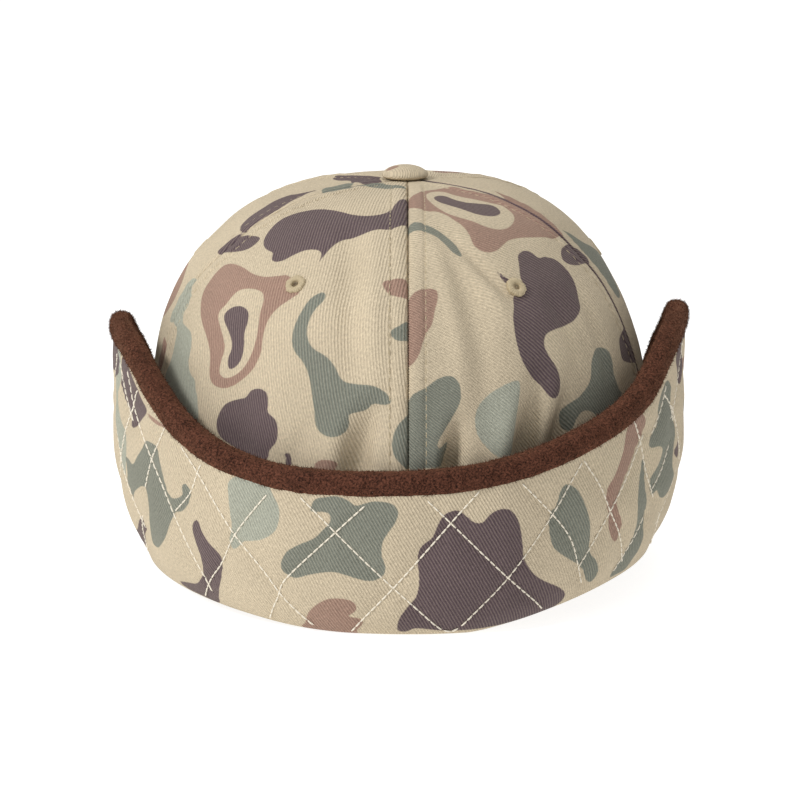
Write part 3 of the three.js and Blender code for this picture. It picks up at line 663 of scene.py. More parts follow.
thread = {
    "roughness": 0.62, "specular": 0.4, "sheen": 0.2, "sheenTint": "#f0e6cc",
    "shade": (0.75, 1.2),
    "relief": 0.1,  # mm
    "bump": 0.5,
}


# Two-ply cotton thread: pale, with a faint shine and a fine twist, given in mm.
def threadMaterial(name, hexColour, twist):
    material, tree, shader = newMaterial(name, thread)
    place = addNode(tree, "ShaderNodeTexCoord").outputs["Object"]
    grain = addNode(tree, "ShaderNodeTexNoise", {"Scale": 1 / (twist * mm), "Detail": 2},
                    {"Vector": place}).outputs["Fac"]
    low, high = thread["shade"]
    value = addNode(tree, "ShaderNodeMapRange", {"To Min": low, "To Max": high}, {"Value": grain}).outputs[0]
    colour = addNode(tree, "ShaderNodeRGB").outputs[0]
    colour.default_value = linear(hexColour)
    shaded = addNode(tree, "ShaderNodeVectorMath", {"operation": "SCALE"},
                     {0: colour, "Scale": value}).outputs[0]
    tree.links.new(shaded, shader.inputs["Base Color"])
    bump = addNode(tree, "ShaderNodeBump", {"Strength": thread["bump"], "Distance": thread["relief"] * mm},
                   {"Height": grain}).outputs[0]
    tree.links.new(bump, shader.inputs["Normal"])
    return material


printedTwill = twillMaterial("printed cotton twill", True)
plainTwill = twillMaterial("cotton twill, unprinted side", False)
brownFleece = fleeceMaterial()
seamThread = threadMaterial("cotton sewing thread", "#b7a88a", 0.35)
quiltThread = threadMaterial("cotton quilting thread", "#e6ddcb", 0.35)
eyeletThread = threadMaterial("cotton embroidery thread", "#b5a586", 0.5)
print("materials made")


# Making meshes
def toFrame(points):
    return (points + crownAxis) * mm


def gridPiece(name, across, along, shape, materials):
    # a grid whose points move to where the shape puts them; the shape also gives the cloth's
    # own measure for the weave, and the distances to the print's edges
    bpy.ops.mesh.primitive_grid_add(x_subdivisions=len(across) - 1, y_subdivisions=len(along) - 1, size=1)
    piece = bpy.context.object
    piece.name = piece.data.name = name
    mesh = piece.data
    flat = np.empty(len(mesh.vertices) * 3)
    mesh.vertices.foreach_get("co", flat)
    flat = flat.reshape(-1, 3)
    i = np.rint((flat[:, 0] + 0.5) * (len(across) - 1)).astype(int)
    j = np.rint((flat[:, 1] + 0.5) * (len(along) - 1)).astype(int)
    points, weave, spots = shape(*np.meshgrid(across, along))
    mesh.vertices.foreach_set("co", toFrame(points)[j, i].ravel())
    layer = mesh.uv_layers[0]
    layer.name = "weave"
    corner = np.empty(len(mesh.loops), int)
    mesh.loops.foreach_get("vertex_index", corner)
    layer.data.foreach_set("uv", weave[j, i][corner].ravel())
    for ink, value in spots.items():
        attribute = mesh.attributes.new(ink, "FLOAT", "POINT")
        attribute.data.foreach_set("value", value[j, i].ravel())
    for material in materials:
        mesh.materials.append(material)
    mesh.update()
    return piece


def withWall(piece, thickness, inside=0):
    solidify = piece.modifiers.new("wall", "SOLIDIFY")
    solidify.thickness = thickness * mm
    solidify.offset = -1
    solidify.material_offset = inside
    bpy.context.view_layer.objects.active = piece
    bpy.ops.object.modifier_apply(modifier=solidify.name)
    return piece


def finished(piece, slot, *nodes):
    bpy.ops.object.select_all(action="DESELECT")
    piece.select_set(True)
    bpy.context.view_layer.objects.active = piece
    bpy.ops.object.shade_smooth()
    piece.select_set(False)
    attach(piece, "root")
    if nodes:
        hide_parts(*nodes)
    return piece


def weaveTurned(across, up, degrees, bend=0, middle=(0, 0), reach=30):
    # the ridges run up the turned measure; a bend lets them swing round a place, as pulled cloth does
    turn = np.radians(degrees)
    swing = bend * reach**2 * np.tanh((across - middle[0]) / reach) * np.tanh((up - middle[1]) / reach)
    right = across * np.cos(turn) + up * np.sin(turn) + swing
    return np.stack([right, up * np.cos(turn) - across * np.sin(turn)], -1)


# Crown panels
# Each panel has the azimuth and height of its eyelet, its print, and the turn of its twill's ridges
panels = {row["name"]: row for row in table(
    "name mirror azimuth height print wale columns",
    ("back_left", -1, -29.6, 111, backLeftPrint, 20, 84),
    ("back_right", 1, 31.2, 110, backRightPrint, 44, 84),
    ("side_left", -1, -94, 111, sideLeftPrint, 28, 54),
    ("side_right", 1, 94, 111, sideRightPrint, 28, 54),
    ("front_left", -1, -150, 111, frontPrint, 28, 56),
    ("front_right", 1, 150, 111, frontPrint, 28, 56),
)}
seam = {
    "stitch": 5.5,  # mm from the seam to its row of topstitching
    "dip": 1.4,
    "dipWidth": 0.38,
    "band": 0.5,  # the seam allowance under the cloth lifts it
    "groove": 0.5,
    "grooveWidth": 0.5,
    "pucker": 0.14,
    "puckerLength": 6.2,
    "puckerReach": 2.4,
    "least": 9.0,  # half width at which the rows of stitching stop under the button
}
slack = {"deep": 0.55, "size": 24, "fine": 0.2, "fineSize": 9, "stiffNearSeam": 12}  # the cloth's soft waves
crownFoot = 4.6  # height of the panels' cut edge above the fold
topHole = 2.6
eyeletHole = 1.9
frontShift = (0, 30)  # moves the print on the left front panel, so that the two fronts differ

# Creases where the flap pushes the cloth in: each has its width, and its line in the panel's own
# cloth measure as across, up and depth, where a crest has a depth below 0
creases = {
    "back_left": [
        (4.0, [(49, 84, 0), (47, 75, 1.4), (45, 68, 3.0), (43.4, 61, 4.2), (43.5, 54, 4.6), (43, 44, 4)]),
        (4.0, [(40, 86, 0), (38.7, 77, -0.6), (37.8, 72, -1.1), (35.5, 64, -1.4), (34, 50, -1.4)]),
        (5.0, [(30, 78, 0), (26, 70, 0.7), (23, 63, 1.2), (21, 56, 1.2), (20, 46, 1)]),
        (4.5, [(7, 148, 0), (14.6, 134, 1.7), (26.4, 113, 2.3), (33, 99, 1.8), (38, 84, 0.6)]),
        (4.5, [(15, 152, 0), (21.5, 139, -0.8), (34.5, 114, -1.4), (44, 92, -1.3), (48, 80, -0.6)]),
    ],
    "back_right": [
        (2.9, [
            (-37.5, 74, 0), (-40, 69, 1.0), (-41.8, 64, 2.6), (-43, 59, 4.2), (-43.6, 54, 4.8),
            (-44, 46, 4.6)]),
        (3.2, [(-41, 82, 0), (-42, 76, -0.4), (-44, 71, -0.9), (-47, 65, -1.3), (-49, 52, -1.4)]),
        (4.2, [
            (-7.5, 88, 0), (-10, 77, 2.0), (-12.6, 70, 4.1), (-14.9, 62, 5.3), (-16, 54, 5.4),
            (-16.5, 44, 4.8)]),
        (4.2, [(-13, 90, 0), (-17, 79, -1.0), (-20, 74, -1.8), (-23.5, 66, -2.3), (-26.5, 56, -2.2)]),
        (3.8, [(7.5, 88, 0), (4.3, 78, 1.5), (2.2, 72, 2.8), (-0.6, 64, 3.6), (-2.4, 56, 3.7)]),
        (4.2, [(3, 92, 0), (-1, 80, -0.6), (-4, 74, -0.6), (-7.6, 65, 0.2), (-9, 56, 1.2)]),
        (9.0, [(8, 84, 0), (4, 74, 0.5), (0, 66, 1.4), (-3, 58, 2.4), (-5, 48, 3)]),
        (5.0, [
            (-16, 148, 0), (-17.7, 138, 0.6), (-20.7, 123, 1.2), (-24, 108, 1.6), (-26, 94, 1.7),
            (-29, 77, 1.2), (-31, 68, 0.5)]),
        (3.6, [
            (-22, 148, 0), (-23.5, 137, -0.7), (-26.5, 123, -1.1), (-31, 108, -1.1), (-34, 94, -1.0),
            (-37, 78, -0.4)]),
        (2.8, [(-17, 147, 0), (-14.8, 138, 0.9), (-11.6, 123, 1.7), (-8.9, 115, 1.5), (-6, 107, 0.3)]),
        (3.4, [(-20, 136, 0), (-18.5, 128, -0.6), (-16, 118, -1.0), (-14, 108, -0.8), (-13, 98, 0)]),
        (3.6, [(6, 114, 0), (10, 100, 1.3), (12, 79, 1.5), (12, 70, 0.6)]),
        (3.6, [(20, 122, 0), (24.4, 110, 1.1), (27, 87, 1.5), (27, 74, 0.6)]),
        (3.6, [(14, 112, 0), (17, 98, 0.8), (19, 82, 1.0), (19, 72, 0.4)]),
    ],
}


def creaseRelief(name, across, up):
    flat = np.stack([across.ravel(), up.ravel()], 1)
    relief = np.zeros(len(flat))
    for width, line in creases.get(name, []):
        curve = smoothCurve(line, closed=False)
        away, along = nearestOnLine(flat, curve[:, :2], False)
        relief -= np.interp(along, runAlong(curve[:, :2]), curve[:, 2]) * bell(away, width)
    return relief.reshape(across.shape)


def seamsOf(name, mirror, level):
    rear = crown["seam"](level)
    part = name.split("_")[0]
    near = {"back": 0 * rear, "side": rear, "front": frontSeam + 0 * rear}[part]
    far = {"back": rear, "side": frontSeam + 0 * rear, "front": 180 + 0 * rear}[part]
    return (near, far) if mirror > 0 else (-far, -near)


def panelMeasures(name, mirror, share, level):
    # azimuth, distance across the cloth from the panel's middle, half width, and height up the cloth
    left, right = seamsOf(name, mirror, level)
    steps = np.linspace(0, 1, 81)
    turns = left[..., None] + (right - left)[..., None] * steps
    path = crownPoint(turns, level[..., None] + 0 * steps, False)
    run = np.cumsum(np.linalg.norm(np.diff(path, axis=-2), axis=-1), axis=-1)
    run = np.concatenate([0 * run[..., :1], run], -1)
    at = np.clip(share, 0, 1) * (len(steps) - 1)
    i = np.minimum(at.astype(int), len(steps) - 2)
    here = np.take_along_axis(run, i[..., None], -1)[..., 0]
    after = np.take_along_axis(run, i[..., None] + 1, -1)[..., 0]
    half = run[..., -1] / 2
    across = here + (after - here) * (at - i) - half
    return left + (right - left) * share, across, half, np.interp(level, levelTable, upTable)


def panelPoints(name, mirror, share, level):
    azimuth, across, half, up = panelMeasures(name, mirror, share, level)
    points = crownPoint(azimuth, level)
    step = 0.6
    right = crownPoint(azimuth + step, level) - crownPoint(azimuth - step, level)
    above = crownPoint(azimuth, level + 0.02) - crownPoint(azimuth, level - 0.02)
    normal = unit(np.cross(right, above))
    away = half - np.abs(across)
    sewn = ramp(3, seam["least"], half)
    relief = -seam["dip"] * bell(away, seam["dipWidth"]) * ramp(2, 6, half)
    bandEnd = 1 - ramp(seam["stitch"] - 0.4, seam["stitch"] + 1.6, away)
    relief += seam["band"] * ramp(0.8, 2.2, away) * bandEnd * sewn
    relief -= seam["groove"] * bell(away - seam["stitch"], seam["grooveWidth"]) * sewn
    wave = np.sin(2 * np.pi * up / seam["puckerLength"] + 3 * np.sin(up / 17) + np.sign(across) * 1.3)
    relief += seam["pucker"] * wave * np.exp(-np.abs(away - seam["stitch"]) / seam["puckerReach"]) * sewn
    waves = slack["deep"] * unevenness(points, slack["size"], 3)
    waves += slack["fine"] * unevenness(points, slack["fineSize"], 7)
    relief += waves * ramp(0, slack["stiffNearSeam"], away)
    relief += creaseRelief(name, across, up) * ramp(0, 3, away)
    return points + normal * relief[..., None], normal, across, up


# Distances from a seam of the closer columns of points there, in mm, and where they give way to even ones
nearSeam = [0, 0.2, 0.42, 0.72, 1.2, 1.9, 3.0, 4.2, 4.8, 5.15, 5.5, 5.85, 6.2, 6.9]
evenFrom = 8.0
fullHalf = 60.0


def columnShare(column, half):
    # where a column lies across a panel that is as wide as this
    side = np.minimum(column, 2 * fullHalf - column)
    squeeze = np.minimum(1, half / (2 * evenFrom))
    away = np.minimum(side, evenFrom) * squeeze
    away = away + np.maximum(side - evenFrom, 0) * (half - evenFrom * squeeze) / (fullHalf - evenFrom)
    share = away / (2 * half)
    return np.where(column > fullHalf, 1 - share, share)


def crownEdge(azimuth):
    return rimHeight(azimuth) + crownFoot


# painted shadow in the gap of this one seam, laid on as dark ink: half the line's width on each side of it,
# in mm
paintedSeamShadow = {"back_right": {"side": 1, "half": 0.5}, "side_right": {"side": -1, "half": 1.15}}

# the ridges of this panel's twill swing where the folds pull it
pulled = {"back_right": {"bend": -0.01, "middle": (-25, 85)}}


def panelShape(name, settings):
    mirror = settings["mirror"]
    halves = panelMeasures(name, mirror, 0.5 + 0 * coarseLevels, coarseLevels)[2]

    def shape(column, up):
        share = columnShare(column, halves[0])
        left, right = seamsOf(name, mirror, 0 * share)
        foot = levelAtHeight(crownEdge(left + (right - left) * share))
        level = foot + (topLevel - foot) * up
        share = columnShare(column, np.interp(level, coarseLevels, halves))
        points, _, across, above = panelPoints(name, mirror, share, level)
        places = np.stack([across, above], -1) + (frontShift if name == "front_left" else (0, 0))
        spots = printOn(places, settings["print"])
        # painted shade: the seam's shadow goes into the dark ink as a thin line along this panel's seam
        if name in paintedSeamShadow:
            half = panelMeasures(name, mirror, share, level)[2]
            line = paintedSeamShadow[name]["half"] - (half - paintedSeamShadow[name]["side"] * across)
            spots["dark"] = np.maximum(spots["dark"], line)
        bend = pulled.get(name, {})
        return points, weaveTurned(across, above, settings["wale"], **bend), spots
    return shape


topLevel = float(np.interp(-topHole / oval["right"], -crown["right"](levelTable), levelTable))
flapHides = 0.2  # the share of a panel's height that stays behind the flap
hidden = np.linspace(0, flapHides, 13)[:-1]
shown = np.linspace(flapHides, 1, 128)
for name, settings in panels.items():
    inner = np.linspace(evenFrom, 2 * fullHalf - evenFrom, settings["columns"])
    across = np.concatenate([nearSeam, inner, 2 * fullHalf - np.array(nearSeam[::-1])])
    panel = gridPiece("twill_" + name, across, np.concatenate([hidden, shown]), panelShape(name, settings),
                      [printedTwill, plainTwill])
    # the hole that the eyelet's thread covers
    level = levelAtHeight(settings["height"])
    centre = toFrame(crownPoint(np.array(settings["azimuth"]), np.array(level)))
    bpy.ops.object.mode_set(mode="EDIT")
    bpy.ops.mesh.select_all(action="DESELECT")
    bpy.ops.object.mode_set(mode="OBJECT")
    for face in panel.data.polygons:
        face.select = (face.center - Vector(centre)).length < eyeletHole * mm
    bpy.ops.object.mode_set(mode="EDIT")
    bpy.ops.mesh.select_mode(type="FACE")
    bpy.ops.mesh.delete(type="FACE")
    bpy.ops.object.mode_set(mode="OBJECT")
    withWall(panel, clothWall, 1)
    finished(panel, "twill", "panel_" + name)
print("panels made")


# Stitches and fibres: one small shape placed many times
def joinedMesh(name, points, faces, material):
    mesh = bpy.data.meshes.new(name)
    mesh.from_pydata(points.tolist(), [], faces)
    piece = bpy.data.objects.new(name, mesh)
    bpy.context.scene.collection.objects.link(piece)
    mesh.materials.append(material)
    return piece


# a stitch's middle stands on the cloth and its ends sink into it, all in mm
stitch = {"length": 2.4, "gap": 0.6, "thick": 0.3, "sides": 6, "stand": 0.04, "sink": 0.26}
# how far along a stitch each ring lies, and its share of the thread's thickness
stitchRings = [(0.0, 0.35), (0.14, 0.85), (0.36, 1.0), (0.64, 1.0), (0.86, 0.85), (1.0, 0.35)]


def stitchesOn(rows, settings):
    # each row is its points and the cloth's normals; a stitch is a short thread between two holes
    points, faces = [], []
    sides = settings["sides"]
    turns = np.arange(sides)[:, None] * 2 * np.pi / sides
    across, up = np.cos(turns), np.sin(turns)
    for line, normals in rows:
        run = runAlong(line)
        starts = np.arange(0.4, run[-1] - settings["length"], settings["length"] + settings["gap"])
        for start in starts:
            base = sum(len(p) for p in points)
            ahead = np.array([np.interp(start + settings["length"], run, line[:, k]) for k in range(3)])
            begin = np.array([np.interp(start, run, line[:, k]) for k in range(3)])
            out = np.array([np.interp(start + settings["length"] / 2, run, normals[:, k]) for k in range(3)])
            along = ahead - begin
            aside = unit(np.cross(along, out))
            out = unit(np.cross(aside, along))
            for share, wide in stitchRings:
                lift = settings["stand"] - settings["sink"] * (2 * share - 1) ** 4
                middle = begin + along * share + out * lift
                radius = settings["thick"] / 2 * wide
                points.append(middle + radius * (across * aside + up * out))
            for ring in range(len(stitchRings) - 1):
                for side in range(sides):
                    a = base + ring * sides + side
                    b = base + ring * sides + (side + 1) % sides
                    faces.append((a, b, b + sides, a + sides))
            faces.append(tuple(base + k for k in reversed(range(sides))))
            faces.append(tuple(base + (len(stitchRings) - 1) * sides + k for k in range(sides)))
    return np.concatenate(points), faces


def sewnOn(name, rows, settings, material):
    points, faces = stitchesOn(rows, settings)
    finished(joinedMesh(name, toFrame(points), faces, material), "thread")


rowFoot = 20  # height at which the rows start, well behind the flap
rows = []
for name, settings in panels.items():
    for edge in (0, 1):
        level = np.linspace(levelAtHeight(rowFoot), topLevel - 0.05, 220)
        _, _, half, _ = panelMeasures(name, settings["mirror"], 0.5 + 0 * level, level)
        level = level[half > seam["stitch"] + 1.2]
        half = half[half > seam["stitch"] + 1.2]
        share = seam["stitch"] / (2 * half)
        share = 1 - share if edge else share
        line, normals, _, _ = panelPoints(name, settings["mirror"], share, level)
        rows.append((line, normals))
sewnOn("crown_topstitching", rows, stitch, seamThread)
print("topstitching made")


# Sewn eyelets: close radial wraps of thread round a small hole
eyelet = {
    "hole": 1.15, "flange": 3.5, "stand": 0.75, "wraps": 26, "ridge": 0.16,
    "sunk": 1.3,  # how much deeper than a plain ring its underside goes into the cloth
    "flatSide": 0.4,  # the side panels' eyelets lie flatter
    "loose": ((5, 0.12), (11, 0.1)),  # waves round the flange, and their height
}
middle = (eyelet["hole"] + eyelet["flange"]) / 2
thick = (eyelet["flange"] - eyelet["hole"]) / 2
for name, settings in panels.items():
    level = levelAtHeight(settings["height"])
    bpy.ops.mesh.primitive_torus_add(
        major_radius=middle * mm, minor_radius=thick * mm, major_segments=eyelet["wraps"] * 6,
        minor_segments=14)
    ring = bpy.context.object
    ring.name = ring.data.name = "sewn_eyelet_" + name
    co = np.array([v.co for v in ring.data.vertices]) / mm
    turn = np.arctan2(co[:, 1], co[:, 0])
    radius = np.hypot(co[:, 0], co[:, 1])
    ridge = eyelet["ridge"] * (np.abs(np.sin(turn * eyelet["wraps"] / 2)) - 0.5)
    (broad, broadHeight), (narrow, narrowHeight) = eyelet["loose"]
    loose = broadHeight * np.sin(turn * broad + settings["azimuth"]) + narrowHeight * np.sin(turn * narrow)
    out = (radius - middle) / thick
    radius = radius + (ridge + loose) * np.clip(out, -0.4, 1)
    stand = eyelet["stand"] * (eyelet["flatSide"] if "side" in name else 1)
    height = np.where(co[:, 2] > 0, co[:, 2] * stand / thick, co[:, 2] * eyelet["sunk"])
    height += np.where(co[:, 2] > 0, ridge * 0.9, 0)
    co = np.stack([radius * np.cos(turn), radius * np.sin(turn), height], 1)
    azimuth = np.array(float(settings["azimuth"]))
    step = 0.02
    right = crownPoint(azimuth + 1, level) - crownPoint(azimuth - 1, level)
    above = crownPoint(azimuth, level + step) - crownPoint(azimuth, level - step)
    normal = Vector(np.cross(right, above)).normalized()
    spin = np.array(Vector((0, 0, 1)).rotation_difference(normal).to_matrix())
    place = crownPoint(azimuth, np.array(level))
    ring.data.vertices.foreach_set("co", toFrame(co @ spin.T + place).ravel())
    ring.data.materials.append(eyeletThread)
    finished(ring, "thread", "eyelet_" + name)
print("eyelets made")


# The covered button
button = {
    "radius": 8.1, "height": 5.1, "seat": -0.4, "aside": -0.9,
    "belly": 0.3,  # the share of its height at which it is widest
    "pleats": 15, "pleatDepth": 0.07,
    "wale": 35, "weaveScale": 1.4,
}
bpy.ops.mesh.primitive_uv_sphere_add(segments=72, ring_count=36, radius=1)
cover = bpy.context.object
cover.name = cover.data.name = "covered_button"
co = np.array([v.co for v in cover.data.vertices])
flatness = np.hypot(co[:, 0], co[:, 1])
turn = np.arctan2(co[:, 1], co[:, 0])
rise = np.where(co[:, 2] > 0, button["belly"] + (1 - button["belly"]) * np.abs(co[:, 2]) ** 1.15,
                button["belly"] * (1 - np.abs(co[:, 2]) ** 0.8))
spread = np.minimum(flatness, 1) ** np.where(co[:, 2] > 0, 0.92, 0.8)
pleat = button["pleatDepth"] * np.sin(turn * button["pleats"])
pleat = pleat * ramp(0.35, 0, rise) * ramp(0.3, 0.9, flatness)
out = button["radius"] * (spread + pleat * 0.3)
x, y = out * np.cos(turn), out * np.sin(turn)
z = crownSections[-1]["height"] + button["seat"] + button["height"] * rise
cover.data.vertices.foreach_set("co", toFrame(np.stack([x + button["aside"], y, z], 1)).ravel())
layer = cover.data.uv_layers[0]
layer.name = "weave"
corner = np.array([loop.vertex_index for loop in cover.data.loops])
weave = button["weaveScale"] * weaveTurned(x, y - z, button["wale"])
layer.data.foreach_set("uv", weave[corner].ravel())
patch = {"middle": (-4.4, -2.2), "reach": (2.3, 1.5)}  # the one spot of rose on it
inPatch = 1 - np.hypot(
    (x - patch["middle"][0]) / patch["reach"][0], (y - patch["middle"][1]) / patch["reach"][1])
for ink in inks:
    value = inPatch * patch["reach"][1] if ink == "rose" else 0 * x - printReach
    cover.data.attributes.new(ink, "FLOAT", "POINT").data.foreach_set("value", value)
cover.data.materials.append(printedTwill)
finished(cover, "twill", "top_button")
print("button made")


# The quilted flap
quilting = {
    "puff": 1.6, "reach": 5.5,
    "sunk": 0.6,  # the share of the puff by which the seams lie below the plain face
    "pucker": 0.34, "puckerLength": 3.3, "puckerReach": 2.2,
    "search": 14,  # mm round a seam in which it is looked for
    "flatAtRoll": 0.25,
    "waves": 0.5, "waveSize": 30,
    "wale": 30, "wall": 1.4,
}
# the seams that the photo shows, read off as mm across and up the flap's cloth
quiltLines = [
    [(-123, 77), (-119, 68), (-112, 59), (-104, 50), (-96, 41), (-90, 32), (-80, 15), (-75, 6)],
    [(-85, 58), (-77, 50), (-66, 37), (-61, 31), (-50, 20), (-42, 10), (-31, 1)],
    [(-36, 47), (-24, 35.5), (-9, 21), (0, 12.5), (8, 5), (12, 2)],
    [(6, 47), (14, 39), (34, 19), (50, 5.5)],
    [(38, 51), (50, 39), (58, 29.5), (63, 19), (67, 11)],
    [(62, 56), (70, 46), (76, 36), (83, 27), (89, 18), (92, 14)],
    [(86, 67), (92, 58), (97, 46), (102, 39), (107, 33)],
    [(110, 70), (117, 65), (122, 57)],
    [(-119, 63), (-115, 70), (-112, 72)],
    [(-110, 38), (-104, 49), (-98, 57), (-93, 63)],
    [(-90, 34), (-81, 42), (-77, 50), (-74, 54)],
    [(-82, 5), (-75, 13), (-68, 20), (-61, 31), (-50, 44), (-46, 48)],
    [(-51, 2), (-45, 12), (-42, 18), (-24, 35.5), (-13, 46)],
    [(-20, 1), (-5, 17), (14, 39), (24, 50)],
    [(18, 3), (34, 19), (50, 39), (57, 49), (62, 56)],
    [(63, 18), (70, 28), (76, 36), (85, 47), (90, 54), (95, 60)],
    [(86, 12), (92, 18), (98, 26), (100, 31)],
    [(103, 38), (110, 43), (115, 49), (118, 52)],
    [(100, 58), (108, 66), (112, 73)],
    [(12, 2), (15, 1.2), (18, 3)],
]
hiddenQuilting = {"from": 118, "to": 222, "step": 37, "slope": 1.03, "low": 5, "beyond": 90}
roll = {
    "height": 9.0, "proud": 1.1, "quilt": 3.2, "apart": 0.6, "fleece": 2.6, "fullness": 2.5,
    "steepest": 1.8,  # the roll isn't taller than this many times its height where the edge climbs
}


def flapAcross(azimuth):
    return np.interp(azimuth, flapTurns, flapRun)


def rollHeight(azimuth):
    turn = np.abs(azimuth)
    step = 2  # degrees
    edge = {side: (edgeAt[side](turn + step) - edgeAt[side](turn - step)) for side in edgeAt}
    run = np.radians(2 * step) * (oval["left"] + oval["length"]) / 2
    climb = np.where(azimuth < 0, edge["left"], edge["right"]) / run
    steep = np.minimum(np.hypot(1, climb), roll["steepest"])
    return np.minimum(roll["height"] * steep, (sided(edgeAt, azimuth) - rimHeight(azimuth)) * 0.5)


def hiddenLines():
    # the same diamonds go on round the ears, where the photo doesn't show them
    lines = []
    h = hiddenQuilting
    for side in (-1, 1):
        for start in np.arange(h["from"] - h["beyond"], h["to"] + h["beyond"], h["step"]):
            for slope in (h["slope"], -h["slope"]):
                u = np.linspace(h["from"], h["to"], 120)
                v = h["low"] + (u - start) * slope
                azimuth = np.interp(side * u, flapRun, flapTurns)
                top = sided(edgeAt, azimuth) - rollHeight(azimuth) - 2
                keep = (v > rimHeight(azimuth) + 2.5) & (v < top)
                if keep.sum() > 6:
                    lines.append(np.stack([side * u[keep], v[keep]], 1))
    return lines


quiltCurves = [smoothCurve(line, closed=False, steps=4) for line in quiltLines] + hiddenLines()


def quiltRelief(across, up):
    flat = np.stack([across.ravel(), up.ravel()], 1)
    nearest = np.full(len(flat), 1e3)
    along = np.zeros(len(flat))
    for curve in quiltCurves:
        search = quilting["search"]
        near = np.all((flat > curve.min(0) - search) & (flat < curve.max(0) + search), axis=1)
        away, run = nearestOnLine(flat[near], curve, False)
        nearer = away < nearest[near]
        index = np.flatnonzero(near)[nearer]
        nearest[index] = away[nearer]
        along[index] = run[nearer]
    swell = quilting["puff"] * (1 - np.exp(-nearest / quilting["reach"]) - quilting["sunk"])
    wave = np.sin(2 * np.pi * along / quilting["puckerLength"])
    wrinkle = quilting["pucker"] * wave * np.exp(-nearest / quilting["puckerReach"])
    return (swell + wrinkle * ramp(0, 0.8, nearest)).reshape(across.shape)


def quiltPoints(azimuth, height):
    across = flapAcross(azimuth)
    points = flapFace(azimuth, height)
    right = flapFace(azimuth + 0.5, height) - flapFace(azimuth - 0.5, height)
    above = flapFace(azimuth, height + 0.5) - flapFace(azimuth, height - 0.5)
    normal = unit(np.cross(right, above))
    above = height - rimHeight(azimuth)
    toRoll = sided(edgeAt, azimuth) - rollHeight(azimuth) - height
    flat = quilting["flatAtRoll"]
    relief = quiltRelief(across, height) * ramp(1.5, 9, above) * (flat + (1 - flat) * ramp(-2, 7, toRoll))
    relief += quilting["waves"] * unevenness(points, quilting["waveSize"], 11) * ramp(3, 12, above)
    return points + normal * relief[..., None], normal


foot = {
    "inner": -1.4, "rise": 4.3, "round": 1.7,
    "gap": 0.2,  # the face starts this far above the fold
    "tuck": 0.4, "tuckReach": 1.3,  # how far, as a share of its flare, the face turns in at the fold
}
# Round the ears the flap's print goes on as parts of the back panels' prints: each is turned and moved,
# and lies on one side of this distance from the middle of the back
earPrint = {"from": 139, "wave": 3, "waveLength": 9, "split": 192, "at": 48, "to": 110}
earPatches = [(-175, backLeftPrint, 20), (168, backRightPrint, -35), (-215, backRightPrint, 70),
              (212, backLeftPrint, 100)]


def quiltShape(azimuth, path):
    # path: 0 to 1 up the hidden side under the crown, 1 to 2 round the fold, 2 to 3 up the face
    floor = rimHeight(azimuth)
    top = sided(edgeAt, azimuth) - rollHeight(azimuth) * 0.5
    climb = np.clip(path - 2, 0, 1)
    height = floor + foot["gap"] + (top - floor - foot["gap"]) * climb
    face, _ = quiltPoints(azimuth, height)
    softly = foot["tuck"] * np.exp(-(height - floor) / foot["tuckReach"])
    x, y = ovalPoint(azimuth, -flapOffset(azimuth, height) * softly)
    x0, y0 = ovalPoint(azimuth, 0)
    face[..., 0] += x - x0
    face[..., 1] += y - y0
    turn = np.pi * (1 + 0.5 * np.clip(path - 1, 0, 1))
    offset = foot["inner"] * -np.cos(turn)
    inside = (foot["rise"] - foot["round"]) * (1 - np.clip(path, 0, 1))
    under = floor + foot["round"] * (1 + np.sin(turn)) + inside
    x, y = ovalPoint(azimuth, offset)
    fold = np.stack([x, y, under], -1)
    points = np.where((path >= 2)[..., None], face, fold)
    across = flapAcross(azimuth)
    up = np.where(path >= 2, height, -(2 - path) * foot["rise"])
    spots = printOn(np.stack([across, up], -1), flapPrint)
    away = np.abs(across)
    for shift, chart, turnBy in earPatches:
        places = turned(across - shift, up - earPrint["at"], turnBy) + (0, earPrint["to"])
        more = printOn(places, chart)
        beyond = away - earPrint["from"] + earPrint["wave"] * np.sin(up / earPrint["waveLength"])
        split = (earPrint["split"] - away) * (1 if abs(shift) < earPrint["split"] else -1)
        own = across * np.sign(shift)
        limits = [np.clip(limit, -printReach, printReach) for limit in (beyond, own, split)]
        for ink in inks:
            spots[ink] = np.maximum(spots[ink], np.minimum.reduce([more[ink], *limits]))
    return points, weaveTurned(across, up, quilting["wale"]), spots


flapReach = 125.5  # azimuth of the flap's front ends
flapTurn = np.linspace(-flapReach, flapReach, 381)
quiltPath = np.concatenate([np.linspace(0, 1, 3)[:-1], np.linspace(1, 2, 6)[:-1], np.linspace(2, 3, 66)])
quilt = gridPiece("quilted_flap", flapTurn, quiltPath, quiltShape, [printedTwill, plainTwill])
withWall(quilt, quilting["wall"], 1)
finished(quilt, "twill", "earflap_quilt")
print("quilt made")

quiltStitch = {"length": 2.6, "gap": 0.1, "thick": 0.62, "sides": 6, "stand": 0.24, "sink": 0.2}
rows = []
for curve in quiltCurves:
    length = np.linalg.norm(np.diff(curve, axis=0), axis=1).sum()
    steps = np.linspace(0, len(curve) - 1, max(int(length), 4))
    u = np.interp(steps, np.arange(len(curve)), curve[:, 0])
    v = np.interp(steps, np.arange(len(curve)), curve[:, 1])
    azimuth = np.interp(u, flapRun, flapTurns)
    keep = v > rimHeight(azimuth) + 0.8
    if keep.sum() < 5:
        continue
    line, normals = quiltPoints(azimuth[keep], v[keep])
    rows.append((line, normals))
sewnOn("flap_quilting", rows, quiltStitch, quiltThread)
print("quilting made")


